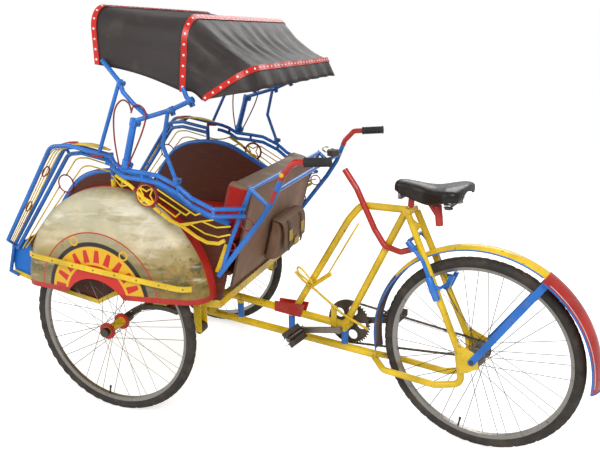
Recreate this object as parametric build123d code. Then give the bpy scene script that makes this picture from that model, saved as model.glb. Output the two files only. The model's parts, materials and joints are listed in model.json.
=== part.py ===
import os
from math import asin, atan2, cos, degrees, hypot, pi, radians, sin

from build123d import *

# Cycle rickshaw: a two-wheeled passenger cab in front, steered as a whole on a kingpin,
# and a one-wheeled rider's frame behind it. Millimetres. X points back, Y to the right, Z up.
# While it is drawn, the datum is the ground under the middle of the front axle.

# Driving dimensions
wheel_radius = 355.0
track = 904.0
wheelbase = 1391.0
kingpin_back = 200.0
steer_angle = 12.5
cab_length = 1000.0
cab_height = 1000.0
frame_height = 1000.0

half_track = track / 2
axle_height = wheel_radius

# General fits
seat_gap = 0.3
running_gap = 0.08
overrun = 5.0


# Places: shares of the driving dimensions
def cab(x_share, y_share, z_share):
    """A place on the cab: along it, out from its middle, and up from the axle."""
    return Vector(x_share * cab_length, y_share * half_track, axle_height + z_share * cab_height)


def cab_line(shares, y):
    """Places on the cab in one side plane, from a table of shares along and up."""
    return [Vector(x * cab_length, y, axle_height + z * cab_height) for x, z in shares]


def frame(x_share, y, z_share):
    """A place on the rider's frame: between the two axle lines, sideways, and up from the axle."""
    return Vector(x_share * wheelbase, y, axle_height + z_share * frame_height)


def frame_line(shares, y):
    """Places on the rider's frame in one side plane."""
    return [frame(x, y, z) for x, z in shares]


# Plain forms
def bar(points, size, bend=0, sides=0):
    """A round or flat-sided rod along straight runs that are joined by bends."""
    points = [Vector(*p) for p in points]
    if len(points) == 2:
        path = Line(*points)
    elif bend:
        path = FilletPolyline(*points, radius=bend)
    else:
        path = Polyline(*points)
    start = Plane(origin=path @ 0, z_dir=path % 0)
    section = RegularPolygon(size / 2, sides) if sides else Circle(size / 2)
    return sweep(start * section, path=path, transition=Transition.RIGHT)


def ring(centre, outer_radius, size, normal=(0, 1, 0), sides=6):
    """A ring of rod, standing in the plane that the normal gives."""
    plane = Plane(origin=centre, z_dir=normal)
    section = Pos(outer_radius - size / 2, 0, 0) * Rot(X=90) * RegularPolygon(size / 2, sides)
    return plane * revolve(section, Axis.Z)


def cylinder_along_y(centre, radius, length):
    return Pos(*centre) * Rot(X=90) * Cylinder(radius, length)


def box_between(low, high):
    size = Vector(*high) - Vector(*low)
    centre = Vector(*low) + size / 2
    return Pos(*centre) * Box(*size)


def side_plate(points, y_low, thickness):
    """A flat plate that stands in the side plane, from a list of its corners."""
    outline = Polyline(*[(p.X, 0, p.Z) for p in points], close=True)
    return Pos(0, y_low, 0) * extrude(make_face(outline), amount=thickness, dir=(0, 1, 0))


def joined(shapes):
    """One node from several pieces, welded where they touch."""
    whole = shapes[0]
    for shape in shapes[1:]:
        whole = whole + shape
    return whole


def group(shapes):
    """One node from pieces that stay apart."""
    return Compound(children=[Part() + shape for shape in shapes])


def right_hand(shape):
    """The right-hand copy of a piece drawn on the left."""
    return mirror(shape, about=Plane.XZ)


nodes = {}


def add(name, shape):
    nodes[name] = shape


def add_pair(name, left):
    add(name + "_left", left)
    add(name + "_right", right_hand(left))


def add_frame(name, shape):
    """A piece of the rider's frame, turned about the kingpin with it."""
    add(name, Pos(kingpin_back, 0, 0) * Rot(Z=-steer_angle) * Pos(-kingpin_back, 0, 0) * shape)


# Wheels: pneumatic tyre, steel rim and wire spokes on a flanged hub
tyre_width = 40.0
tread_width = 24.0
tyre_height = 33.0
tyre_bead_width = 26.0
tyre_widest_share = 0.5
rim_depth = 14.0
rim_inner_width = 16.0
spoke_size = 2.2
spokes_per_flange = 18
spoke_lean = 62.0
flange_radius = 33.0
flange_thickness = 5.0
hub_body_radius = 17.0
front_hub_width = 100.0
rear_hub_width = 62.0
axle_radius = 10.0
rear_axle_radius = 8.0

rim_radius = wheel_radius - tyre_height
rim_inner_radius = rim_radius - rim_depth


def wheel_ring(half_section):
    """A ring about the Y axis from the radius and half width of its section's corners."""
    corners = half_section + [(radius, -half) for radius, half in reversed(half_section)]
    return revolve(make_face(Polyline(*[(r, y, 0) for r, y in corners], close=True)), Axis.Y)


def tyre():
    widest = wheel_radius - tyre_widest_share * tyre_height
    return wheel_ring([
        (rim_radius + seat_gap, tyre_bead_width / 2),
        (widest, tyre_width / 2),
        (wheel_radius, tread_width / 2),
    ])


def rim():
    return wheel_ring([(rim_inner_radius, rim_inner_width / 2), (rim_radius, tyre_bead_width / 2)])


def spoke(seat, turn, lean):
    """One wire from a flange face to the rim, leaning along the wheel as it is laced."""
    root = flange_radius - 2 * spoke_size
    tip = rim_inner_radius - seat_gap - spoke_size / 2
    a, b = radians(turn), radians(turn + lean * spoke_lean)
    start = Vector(root * cos(a), seat, root * sin(a))
    return bar([start, Vector(tip * cos(b), 0, tip * sin(b))], spoke_size, sides=4)


def spoked_hub(width, bore):
    """Hub shell with two spoke flanges, laced with crossing wires to the rim."""
    step = 360 / spokes_per_flange
    body = Cylinder(hub_body_radius, width)
    wires = []
    for side in (-1, 1):
        middle = side * (width - flange_thickness) / 2
        body += Pos(0, 0, middle) * Cylinder(flange_radius, flange_thickness)
        for i in range(spokes_per_flange):
            lean = 1 if i % 2 else -1
            wires.append(spoke(middle + lean * side * flange_thickness / 2, (i + side / 4) * step, lean))
    body -= Cylinder(bore, width + overrun)
    return Rot(X=90) * body + wires


for side_name, side in (("left", -1), ("right", 1)):
    place = Pos(0, side * half_track, axle_height)
    add(f"front_tyre_{side_name}", place * tyre())
    add(f"front_rim_{side_name}", place * rim())
    add(f"front_hub_{side_name}", place * spoked_hub(front_hub_width, axle_radius + running_gap))

# Front axle
axle_nut_radius = 17.0
axle_nut_width = 20.0
axle_nut_gap = 1.0

hub_outer = half_track + front_hub_width / 2
hub_inner = half_track - front_hub_width / 2
axle = cylinder_along_y((0, 0, axle_height), axle_radius, 2 * (hub_outer + axle_nut_width))
for side in (-1, 1):
    nut_y = side * (hub_outer + axle_nut_gap + axle_nut_width / 2)
    axle += cylinder_along_y((0, nut_y, axle_height), axle_nut_radius, axle_nut_width)
add("front_axle", axle)

# Leaf springs: an arched pack with an eye at each end
spring_width = 40.0
spring_leaf = 6.0
spring_hub_gap = 12.0
spring_eye_radius = 19.0
spring_pin_radius = 6.0
spring_end_z_share = 0.015
spring_rise_share = 0.060
spring_span_share = 0.335
leaf_reach_shares = (1.0, 0.72, 0.44)

spring_outer = hub_inner - spring_hub_gap
spring_middle = spring_outer - spring_width / 2
spring_span = spring_span_share * cab_length
spring_rise = spring_rise_share * cab_height
spring_radius = (spring_span**2 / 4 + spring_rise**2) / (2 * spring_rise)
spring_end_z = axle_height + spring_end_z_share * cab_height
spring_apex = Vector(spring_span / 2, -spring_middle, spring_end_z + spring_rise)
spring_top = spring_apex.Z + spring_leaf


def leaf(low_radius, half_turn):
    """One leaf: a strip on an arc about the pack's own centre."""
    def at(radius, turn):
        return (radius * sin(turn), 0, radius * cos(turn))

    high_radius = low_radius + spring_leaf
    lower = ThreePointArc(at(low_radius, -half_turn), at(low_radius, 0), at(low_radius, half_turn))
    upper = ThreePointArc(at(high_radius, half_turn), at(high_radius, 0), at(high_radius, -half_turn))
    outline = [lower, Line(lower @ 1, upper @ 0), upper, Line(upper @ 1, lower @ 0)]
    return extrude(make_face(outline), amount=spring_width / 2, dir=(0, 1, 0), both=True)


def leaf_spring():
    half_turn = asin(spring_span / 2 / spring_radius)
    centre = spring_apex - Vector(0, 0, spring_radius)
    pieces = []
    for i, reach in enumerate(leaf_reach_shares):
        pieces.append(Pos(*centre) * leaf(spring_radius - i * spring_leaf, reach * half_turn))
    spring = joined(pieces)
    for eye, pin in ((spring_front_eye, axle_radius), (spring_back_eye, spring_pin_radius)):
        spring += cylinder_along_y(eye, spring_eye_radius, spring_width)
        spring -= cylinder_along_y(eye, pin + seat_gap, spring_width + overrun)
    return spring


spring_front_eye = Vector(0, -spring_middle, axle_height)
spring_back_eye = Vector(spring_span, -spring_middle, spring_end_z - spring_eye_radius / 2)
add_pair("leaf_spring", leaf_spring())

# Underframe: side rails over the springs, cross beams and the kingpin
rail_size = 30.0
rail_z_share = 0.103
rail_back_share = 0.43
hanger_cheek = 5.0
hanger_cap = 8.0
hanger_drop = 10.0
kingpin_radius = 12.0
kingpin_sleeve_radius = 21.0
king_beam_width = 90.0
king_plate_radius = 42.0
king_plate_thickness = 12.0
sleeve_top_gap = 6.0
rail_diameter = 31.0
lower_rail_z_share = -0.105

rail_low = cab(0, 0, rail_z_share).Z
rail_top = rail_low + rail_size
rail_back = rail_back_share * cab_length
lower_rail_z = frame(0, 0, lower_rail_z_share).Z
kingpin_foot = lower_rail_z + rail_diameter / 2 + sleeve_top_gap
sleeve_top = rail_low - king_plate_thickness - sleeve_top_gap


def spring_hanger(y):
    """The fork on a rail that holds the spring's rear eye, with its pin."""
    x = spring_back_eye.X
    half_x = rail_size / 2
    half_y = spring_width / 2 + seat_gap + hanger_cheek
    foot = spring_back_eye.Z - hanger_drop
    pin_place = (x, y, spring_back_eye.Z)
    cap_corner = (x + half_x, y + half_y, rail_low + hanger_cap)
    pieces = [box_between((x - half_x, y - half_y, rail_low), cap_corner)]
    for low_y in (y - half_y, y + half_y - hanger_cheek):
        corner = (x + half_x, low_y + hanger_cheek, rail_low + hanger_cap)
        pieces.append(box_between((x - half_x, low_y, foot), corner))
    pieces.append(cylinder_along_y(pin_place, spring_pin_radius, 2 * half_y))
    return pieces


def underframe():
    half_rail = rail_size / 2
    beam_reach = spring_middle
    pieces = []
    for y in (-spring_middle, spring_middle):
        pieces.append(box_between((0, y - half_rail, rail_low), (rail_back, y + half_rail, rail_top)))
        clamp_low = (spring_apex.X - rail_size, y - half_rail, spring_top + seat_gap)
        clamp_high = (spring_apex.X + rail_size, y + half_rail, rail_low + overrun)
        pieces.append(box_between(clamp_low, clamp_high))
        pieces += spring_hanger(y)
    # Cross beams: middle, width
    for x, width in (
        (half_rail, rail_size),
        (kingpin_back, king_beam_width),
        (rail_back - half_rail, rail_size),
    ):
        low = (x - width / 2, -beam_reach, rail_low)
        pieces.append(box_between(low, (x + width / 2, beam_reach, rail_top)))
    plate_z = rail_low - king_plate_thickness / 2
    pieces.append(Pos(kingpin_back, 0, plate_z) * Cylinder(king_plate_radius, king_plate_thickness))
    pin_length = rail_low + overrun - kingpin_foot
    pieces.append(Pos(kingpin_back, 0, kingpin_foot + pin_length / 2) * Cylinder(kingpin_radius, pin_length))
    return joined(pieces)


add("underframe", underframe())

# Rider's frame: two long rails, one above the other, with the kingpin sleeve at their front
strut_diameter = 27.0
stay_diameter = 24.0
bb_x_share = 0.6204
bb_z_share = -0.013
bb_shell_radius = 21.0
bb_shell_width = 68.0
crank_axle_radius = 8.5

lower_rail_shares = [(0.090, lower_rail_z_share), (0.722, lower_rail_z_share)]
upper_rail_shares = [(0.146, 0.006), (bb_x_share, bb_z_share)]
front_strut_shares = [(0.457, 0.012), (0.630, 0.420), (0.667, 0.482), (0.795, 0.487)]
seat_tube_shares = [(bb_x_share, bb_z_share), (0.7958, 0.488)]
blue_strut_shares = [0.253, 0.442, bb_x_share]
cluster_share = (0.806, 0.486)

# One tube on each side runs under and round the wheel and up to the seat: along, up, out
stay_half_width = 58.0
loop_shares = [
    (0.716, -0.108, 0.20),
    (0.760, -0.128, 1.0),
    (0.905, -0.132, 1.0),
    (0.975, -0.100, 1.0),
    (0.960, 0.028, 1.0),
    (0.812, 0.478, 0.66),
]
loop_bend = 34.0
bb_place = frame(bb_x_share, 0, bb_z_share)


def loop_tube(side):
    places = [frame(x, side * stay_half_width * out, z) for x, z, out in loop_shares]
    return bar(places, stay_diameter, bend=loop_bend)


def upper_rail_height(x_share):
    (x0, z0), (x1, z1) = upper_rail_shares
    return z0 + (x_share - x0) / (x1 - x0) * (z1 - z0)


def main_frame():
    pieces = [
        bar(frame_line(lower_rail_shares, 0), rail_diameter),
        bar(frame_line(upper_rail_shares, 0), rail_diameter),
        bar(frame_line(front_strut_shares, 0), strut_diameter, bend=2 * strut_diameter),
        bar(frame_line(seat_tube_shares, 0), strut_diameter),
        cylinder_along_y(bb_place, bb_shell_radius, bb_shell_width),
        loop_tube(-1),
        loop_tube(1),
    ]
    for x in blue_strut_shares:
        ends = [(x, lower_rail_z_share), (x, upper_rail_height(x))]
        pieces.append(bar(frame_line(ends, 0), strut_diameter))
    sleeve = Cylinder(kingpin_sleeve_radius, sleeve_top - lower_rail_z)
    pieces.append(Pos(kingpin_back, 0, (lower_rail_z + sleeve_top) / 2) * sleeve)
    cluster = frame(cluster_share[0], 0, cluster_share[1])
    pieces.append(cylinder_along_y(cluster, strut_diameter / 2, 2 * stay_half_width * loop_shares[-1][2]))
    whole = joined(pieces)
    bore_foot = kingpin_foot - sleeve_top_gap / 2
    bore_length = sleeve_top + overrun - bore_foot
    bore = Cylinder(kingpin_radius + running_gap, bore_length)
    whole -= Pos(kingpin_back, 0, bore_foot + bore_length / 2) * bore
    whole -= cylinder_along_y(bb_place, crank_axle_radius + running_gap, bb_shell_width + overrun)
    return whole


add_frame("main_frame", main_frame())

# Riveted plates on both sides of the upper rail
plate_thickness = 5.0
joint_plate_shares = [(0.392, 0.030), (0.494, 0.040), (0.480, -0.016), (0.390, -0.014)]


def both_sides(shares, inner_y, hole=None):
    """The same flat plate on both sides of the rider's frame."""
    plates = []
    for low in (-inner_y - plate_thickness, inner_y):
        plate = side_plate(frame_line(shares, 0), low, plate_thickness)
        plates.append(plate - hole if hole else plate)
    return group(plates)


add_frame("joint_plates", both_sides(joint_plate_shares, rail_diameter / 2 + seat_gap))

# Rear wheel with its chain wheel, axle and dropout plates
rear_axle_place = Vector(wheelbase, 0, axle_height)
sprocket_teeth = 16
chainring_teeth = 44
chain_pitch = 12.7
chain_line = 38.0
sprocket_thickness = 3.0
chainring_windows = 5
window_radius_share = 0.22
window_place_share = 0.60
# Corners of one tooth: share of the pitch round the wheel, share of the pitch outwards
tooth_shares = [(-0.30, -0.30), (-0.12, 0.27), (0.12, 0.27), (0.30, -0.30)]


def pitch_radius(teeth):
    return chain_pitch / (2 * sin(pi / teeth))


def tooth_disc(teeth, bore):
    """A chain wheel: one plain tooth for each chain roller."""
    points = []
    for i in range(teeth):
        for turn, rise in tooth_shares:
            a = 2 * pi * (i + turn) / teeth
            r = pitch_radius(teeth) + rise * chain_pitch
            points.append((r * cos(a), 0, r * sin(a)))
    face = make_face(Polyline(*points, close=True))
    disc = extrude(face, amount=sprocket_thickness / 2, dir=(0, 1, 0), both=True)
    return disc - cylinder_along_y((0, 0, 0), bore, 2 * sprocket_thickness)


def rear_hub():
    bore = rear_axle_radius + running_gap
    length = chain_line + sprocket_thickness / 2 - rear_hub_width / 2
    boss = cylinder_along_y((0, rear_hub_width / 2 + length / 2, 0), hub_body_radius, length)
    boss -= cylinder_along_y((0, rear_hub_width / 2, 0), bore, 4 * length)
    return spoked_hub(rear_hub_width, bore) + boss + Pos(0, chain_line, 0) * tooth_disc(sprocket_teeth, bore)


place = Pos(*rear_axle_place)
add_frame("rear_tyre", place * tyre())
add_frame("rear_rim", place * rim())
add_frame("rear_hub", place * rear_hub())

rear_axle_length = 2 * (stay_half_width + stay_diameter)
add_frame("rear_axle", cylinder_along_y(rear_axle_place, rear_axle_radius, rear_axle_length))

dropout_shares = [(0.958, 0.060), (1.012, 0.030), (1.018, -0.020), (0.972, -0.055)]
dropout_inner = stay_half_width + stay_diameter / 2 + seat_gap
axle_hole = cylinder_along_y(rear_axle_place, rear_axle_radius + seat_gap, rear_axle_length)
add_frame("dropouts", both_sides(dropout_shares, dropout_inner, axle_hole))

# Crankset and pedals
crank_length = 168.0
crank_angle = 193.0
crank_width = 22.0
crank_thickness = 14.0
crank_eye_share = 0.62
crank_shell_gap = 12.0
pedal_length = 92.0
pedal_width = 66.0
pedal_height = 26.0
pedal_pin_radius = 6.0
pedal_clearance = 6.0
pedal_cage = 5.0
pedal_sleeve_radius = 11.0

crank_inset = bb_shell_width / 2 + crank_shell_gap
crank_outer = crank_inset + crank_thickness


def crank_end(side):
    """The pedal pin's place on a crank. The two cranks point opposite ways."""
    a = radians(crank_angle + (180 if side > 0 else 0))
    return bb_place + Vector(crank_length * cos(a), 0, crank_length * sin(a))


def chainring():
    """The large chain wheel, lightened by a circle of round windows."""
    disc = tooth_disc(chainring_teeth, crank_axle_radius - overrun)
    reach = pitch_radius(chainring_teeth)
    for i in range(chainring_windows):
        a = 2 * pi * i / chainring_windows
        middle = Vector(cos(a), 0, sin(a)) * reach * window_place_share
        disc -= cylinder_along_y(middle, reach * window_radius_share, 2 * sprocket_thickness)
    return disc


def crankset():
    pieces = [
        cylinder_along_y(bb_place, crank_axle_radius, 2 * crank_outer),
        Pos(*bb_place) * Pos(0, chain_line, 0) * chainring(),
    ]
    for side in (-1, 1):
        tip = crank_end(side)
        reach = tip - bb_place
        offset = Vector(0, side * (crank_inset + crank_thickness / 2), 0)
        arm = Rot(Y=-degrees(atan2(reach.Z, reach.X))) * Box(crank_length, crank_thickness, crank_width)
        pieces.append(Pos(*(bb_place + reach / 2 + offset)) * arm)
        for eye in (bb_place, tip):
            pieces.append(cylinder_along_y(eye + offset, crank_eye_share * crank_width, crank_thickness))
        pin_length = pedal_clearance + pedal_length + overrun
        pin_middle = tip + Vector(0, side * (crank_outer + pin_length / 2 - overrun), 0)
        pieces.append(cylinder_along_y(pin_middle, pedal_pin_radius, pin_length + overrun))
    return joined(pieces)


add_frame("crankset", crankset())


def pedal():
    """A steel cage round a sleeve that turns on the crank's pin."""
    cage = Box(pedal_width, pedal_length, pedal_height)
    cage -= Box(pedal_width - 2 * pedal_cage, pedal_length - 2 * pedal_cage, 2 * pedal_height)
    cage += cylinder_along_y((0, 0, 0), pedal_sleeve_radius, pedal_length)
    return cage - cylinder_along_y((0, 0, 0), pedal_pin_radius + running_gap, 2 * pedal_length)


# Pedals: name, side, turn of the cage on its pin
for side_name, side, turn in (("left", -1, -45), ("right", 1, 0)):
    middle = crank_end(side) + Vector(0, side * (crank_outer + pedal_clearance + pedal_length / 2), 0)
    add_frame(f"pedal_{side_name}", Pos(*middle) * Rot(Y=turn) * pedal())

# Chain: one fixed loop round both chain wheels, with a groove that the teeth run in
chain_height = 9.0
chain_width = 8.4
chain_groove = 4.4
chain_tip_gap = 1.0
chain_cover = 1.2


def chain_outline(grow):
    """The line round both chain wheels, grown outwards from the pitch line."""
    span = rear_axle_place - bb_place
    distance = hypot(span.X, span.Z)
    big = Circle(pitch_radius(chainring_teeth) + grow)
    small = Pos(distance, 0, 0) * Circle(pitch_radius(sprocket_teeth) + grow)
    return make_hull(list(big.edges()) + list(small.edges()))


def chain():
    span = rear_axle_place - bb_place
    tip = tooth_shares[1][1] * chain_pitch + chain_tip_gap
    outer = extrude(chain_outline(tip + chain_cover), amount=chain_width / 2, both=True)
    inner = extrude(chain_outline(-chain_height / 2), amount=chain_width, both=True)
    groove = extrude(chain_outline(tip), amount=chain_groove / 2, both=True)
    loop = Rot(X=90) * (outer - inner - groove)
    lean = Rot(Y=-degrees(atan2(span.Z, span.X)))
    return Pos(*(bb_place + Vector(0, chain_line, 0))) * lean * loop


add_frame("chain", chain())

# Seat post and sprung saddle
seat_post_diameter = 22.0
seat_post_shares = [(0.806, 0.500), (0.808, 0.545), (0.845, 0.545), (0.885, 0.470)]
seat_post = bar(frame_line(seat_post_shares, 0), seat_post_diameter, bend=seat_post_diameter)
add_frame("seat_post", seat_post)

saddle_length = 255.0
saddle_back_width = 200.0
saddle_nose_width = 62.0
saddle_thickness = 26.0
saddle_rounding = 15.0
saddle_x_share = 0.766
saddle_rod = 12.0
saddle_rod_bite = 2.5
saddle_cross = 14.0
saddle_spring_radius = 16.0
saddle_spring_drop = 46.0
saddle_spring_x_share = 0.82
saddle_spring_y = 52.0
# Half of the saddle's outline: share of its length, share between nose and back half widths
saddle_shares = [(0.0, 0.0), (0.45, 0.05), (0.80, 1.0), (1.0, 0.75)]
saddle_rod_z = frame(0, 0, seat_post_shares[1][1]).Z + (seat_post_diameter + saddle_rod) / 2 + seat_gap
saddle_low = saddle_rod_z + saddle_rod / 2 - saddle_rod_bite


def saddle():
    half_back, half_nose = saddle_back_width / 2, saddle_nose_width / 2
    half = [(saddle_length * x, half_nose + w * (half_back - half_nose)) for x, w in saddle_shares]
    points = half + [(x, -y) for x, y in reversed(half)]
    outline = make_face(FilletPolyline(*points, radius=saddle_rounding, close=True))
    top = extrude(outline, amount=saddle_thickness)
    pieces = [Pos(saddle_x_share * wheelbase, 0, saddle_low) * top]
    spring_x = saddle_x_share * wheelbase + saddle_spring_x_share * saddle_length
    foot_z = saddle_low - saddle_spring_drop
    for y in (-saddle_spring_y, saddle_spring_y):
        coil = Cylinder(saddle_spring_radius, saddle_spring_drop + overrun)
        pieces.append(Pos(spring_x, y, saddle_low - saddle_spring_drop / 2 + overrun / 2) * coil)
    cross_z = foot_z + saddle_cross
    pieces.append(cylinder_along_y((spring_x, 0, cross_z), saddle_cross / 2, 2 * saddle_spring_y))
    post_x = seat_post_shares[1][0] * wheelbase
    bend_x = seat_post_shares[2][0] * wheelbase
    rod = [(post_x, 0, saddle_rod_z), (bend_x, 0, saddle_rod_z), (spring_x, 0, cross_z)]
    pieces.append(bar(rod, saddle_rod))
    return joined(pieces)


add_frame("saddle", saddle())

# Hand brake lever against the seat tube, and the yoke on the seat stays with its pads
lever_diameter = 22.0
lever_y = -(strut_diameter + lever_diameter) / 2 - seat_gap
lever_shares = [
    (0.626, 0.614), (0.662, 0.548), (0.716, 0.403), (0.745, 0.348), (0.790, 0.335), (0.834, 0.360),
]
add_frame("brake_lever", bar(frame_line(lever_shares, lever_y), lever_diameter, bend=lever_diameter))

yoke_size = 14.0
yoke_heights = [0.200, 0.330]
yoke_top_share = (0.820, 0.392)
pad_share = (0.921, 0.253)
pad_arm_height = 0.245
pad_arm_back = 30.0
pad_length = 56.0
pad_width = 12.0
pad_height = 16.0
pad_turn = 68.0
pad_gap = 6.0


def stay_place(z_share, side, out=0.0):
    """A place beside a seat stay's middle line at a height."""
    (x0, z0, w0), (x1, z1, w1) = loop_shares[-2:]
    share = (z_share - z0) / (z1 - z0)
    y = stay_half_width * (w0 + share * (w1 - w0)) + out
    return frame(x0 + share * (x1 - x0), side * y, z_share)


def brake_yoke():
    out = (stay_diameter + yoke_size) / 2 + seat_gap
    pieces = []
    points = []
    for side in (-1, 1):
        leg = [stay_place(z, side, out) for z in yoke_heights]
        leg.append(frame(yoke_top_share[0], leg[-1].Y, yoke_top_share[1]))
        points += leg if side < 0 else leg[::-1]
        pad_y = side * (tyre_bead_width / 2 + pad_gap + pad_width / 2)
        pad_place = frame(pad_share[0], pad_y, pad_share[1])
        root = stay_place(pad_arm_height, side, out)
        pieces.append(bar([root, root + Vector(pad_arm_back, 0, 0), pad_place], pad_width, sides=6))
        pieces.append(Pos(*pad_place) * Rot(Y=-pad_turn + 90) * Box(pad_height, pad_width, pad_length))
    pieces.append(bar(points, yoke_size, bend=yoke_size))
    return joined(pieces)


add_frame("brake_yoke", brake_yoke())

# Foot brake: a rod from the pedal tip past the crank, its clip on the rail and its link
foot_rod = 10.0
foot_link = 18.0
foot_clip_width = 24.0
foot_rod_shares = [(0.700, 0.002), (0.620, 0.042), (0.533, 0.118), (0.490, 0.149), (0.466, 0.178)]
foot_link_shares = [(0.516, 0.127), (0.582, 0.198)]
foot_clip_shares = [(0.592, -0.020), (0.592, 0.068)]


def foot_brake():
    inner = rail_diameter / 2 + seat_gap
    y = -inner - foot_rod / 2
    half_clip = Vector(foot_clip_width / 2, 0, 0)
    low, high = frame_line(foot_clip_shares, 0)
    clip = [low - half_clip, low + half_clip, high + half_clip, high - half_clip]
    return joined([
        bar(frame_line(foot_rod_shares, y), foot_rod),
        bar(frame_line(foot_link_shares, y), foot_link, sides=4),
        side_plate(clip, -inner - plate_thickness, plate_thickness),
    ])


add_frame("foot_brake", foot_brake())

# Rear mudguard, flap and stays
guard_gap = 45.0
guard_width = 62.0
guard_thickness = 3.0
guard_drop = 14.0
guard_from = 58.0
guard_to = 191.0
flap_width = 112.0
flap_drop = 20.0
flap_from = -4.0
flap_to = 57.95
stay_bar_width = 24.0
stay_bar_thickness = 4.0
stay_bar_angle = 56.0
stay_bar_knee_share = 0.2

guard_radius = wheel_radius + guard_gap


def guard_strip(width, drop, start, end):
    """A mudguard strip: a hollow, rounded section turned part of the way round the wheel."""
    half = width / 2
    inner_half = half - guard_thickness
    low = guard_radius - drop
    outer = ThreePointArc((low, -half), (guard_radius, 0), (low, half))
    inner = ThreePointArc((low, inner_half), (guard_radius - guard_thickness, 0), (low, -inner_half))
    face = make_face([outer, Line(outer @ 1, inner @ 0), inner, Line(inner @ 1, outer @ 0)])
    return Pos(*rear_axle_place) * Rot(Y=-end) * revolve(face, Axis.Y, revolution_arc=end - start)


def guard_stay(side):
    """A flat bar from the axle end up to the edge of the mudguard."""
    a = radians(stay_bar_angle)
    tip = guard_radius - guard_drop
    low_y = dropout_inner + plate_thickness + seat_gap + stay_bar_thickness / 2
    high_y = guard_width / 2 + seat_gap + stay_bar_thickness / 2
    start = rear_axle_place + Vector(0, side * low_y, 0)
    end = rear_axle_place + Vector(tip * cos(a), side * high_y, tip * sin(a))
    reach = end - start
    plane = Plane(origin=start, x_dir=(sin(a), 0, -cos(a)), z_dir=(cos(a), 0, sin(a)))
    knee = start + Vector(reach.X, 0, reach.Z) * stay_bar_knee_share
    strip = sweep(
        plane * Rectangle(stay_bar_width, stay_bar_thickness),
        path=Polyline(start, knee, end),
        transition=Transition.RIGHT,
    )
    return strip + cylinder_along_y(start, stay_bar_width / 2, stay_bar_thickness) - axle_hole


add_frame("rear_mudguard", guard_strip(guard_width, guard_drop, guard_from, guard_to))
add_frame("mudguard_flap", guard_strip(flap_width, flap_drop, flap_from, flap_to))
add_frame("mudguard_stays", group([guard_stay(-1), guard_stay(1)]))

# Cab body: side panels, footwell and seat box
panel_thickness = 18.0
panel_clearance = 22.0
board_thickness = 15.0
panel_shares = [
    (-0.525, 0.150), (-0.525, 0.252), (-0.372, 0.334), (-0.272, 0.334), (-0.272, 0.400), (-0.245, 0.455),
    (-0.170, 0.545), (-0.090, 0.588), (0.020, 0.602), (0.100, 0.595), (0.170, 0.570), (0.345, 0.475),
    (0.480, 0.430), (0.455, 0.235), (0.430, 0.1336), (-0.012, 0.1336), (-0.012, 0.112), (-0.110, 0.058),
]
footwell_shares = [(-0.530, 0.145), (-0.110, 0.055), (-0.0003, 0.108)]
seat_board_share = 0.245
seat_board_back_share = 0.4653

panel_outer = hub_inner - panel_clearance
panel_inner = panel_outer - panel_thickness
body_half = panel_inner - seat_gap


def across(corners, half_width):
    """A piece of constant outline that runs across the cab."""
    outline = Polyline(*[(p.X, 0, p.Z) for p in corners], close=True)
    return extrude(make_face(outline), amount=half_width, dir=(0, 1, 0), both=True)


floor_line = cab_line(footwell_shares, 0)
board = Vector(0, 0, board_thickness)
seat_board_z = cab(0, 0, seat_board_share).Z
seat_box = box_between(
    (0, -body_half, seat_board_z - board_thickness),
    (cab(seat_board_back_share, 0, 0).X, body_half, seat_board_z),
)
seat_box += box_between((0, -body_half, rail_top + seat_gap), (board_thickness, body_half, seat_board_z))

add_pair("side_panel", side_plate(cab_line(panel_shares, 0), -panel_outer, panel_thickness))
add("footwell", across(floor_line + [p + board for p in reversed(floor_line)], body_half))
add("seat_box", seat_box)

# Seat cushion, backrest sheet, back cushion and tool bag
cushion_side_gap = 8.0
cushion_rounding = 24.0
seat_front_share = -0.080
seat_back_share = 0.455
seat_cushion_thickness = 85.0
back_cushion_thickness = 100.0
back_slope_share = 0.26
back_top_share = 0.570
back_bottom_share = 0.175
back_x_share = 0.5632
sheet_thickness = 9.0
bag_shares = (0.205, 0.375)
bag_half_width = 130.0
bag_y = 55.0
bag_depth = 78.0

cushion_half = panel_inner - cushion_side_gap
seat_low = seat_board_z + seat_gap
seat_low_corner = (cab(seat_front_share, 0, 0).X, -cushion_half, seat_low)
seat_high_corner = (cab(seat_back_share, 0, 0).X, cushion_half, seat_low + seat_cushion_thickness)
seat_cushion = box_between(seat_low_corner, seat_high_corner)
back_cushion_share = seat_board_share + (seat_cushion_thickness + cushion_side_gap) / cab_height


def leaning_slab(low_share, high_share, half_width, thickness, offset):
    """A slab along the leaning backrest, set forward of its rear face by an offset."""
    low, high = [
        cab(back_x_share - (back_top_share - z) * back_slope_share, 0, z) for z in (low_share, high_share)
    ]
    along = (high - low).normalized()
    forward = Vector(-along.Z, 0, along.X)
    near, far = forward * offset, forward * (offset + thickness)
    return across([low + near, high + near, high + far, low + far], half_width)


back_cushion = leaning_slab(
    back_cushion_share, back_top_share, cushion_half, back_cushion_thickness, sheet_thickness + seat_gap
)
bag = leaning_slab(*bag_shares, bag_half_width, bag_depth, -bag_depth - seat_gap)
add("seat_cushion", fillet(seat_cushion.edges(), radius=cushion_rounding))
add("backrest_sheet", leaning_slab(back_bottom_share, back_top_share, cushion_half, sheet_thickness, 0))
add("back_cushion", fillet(back_cushion.edges(), radius=cushion_rounding))
add("tool_bag", Pos(0, bag_y, 0) * fillet(bag.edges(), radius=cushion_rounding / 2))

# Mudguards: half domes that lean against the side panels
dome_radius = 405.0
dome_place_share = (0.010, 0.145)
dome_depth = 145.0
dome_wall = 4.0
dome_shoulder = 85.0
dome_side_share = 0.97
dome_corner_share = 0.72
arch_x_share = -0.10
arch_radius = 150.0
arch_rise = 70.0


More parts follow.
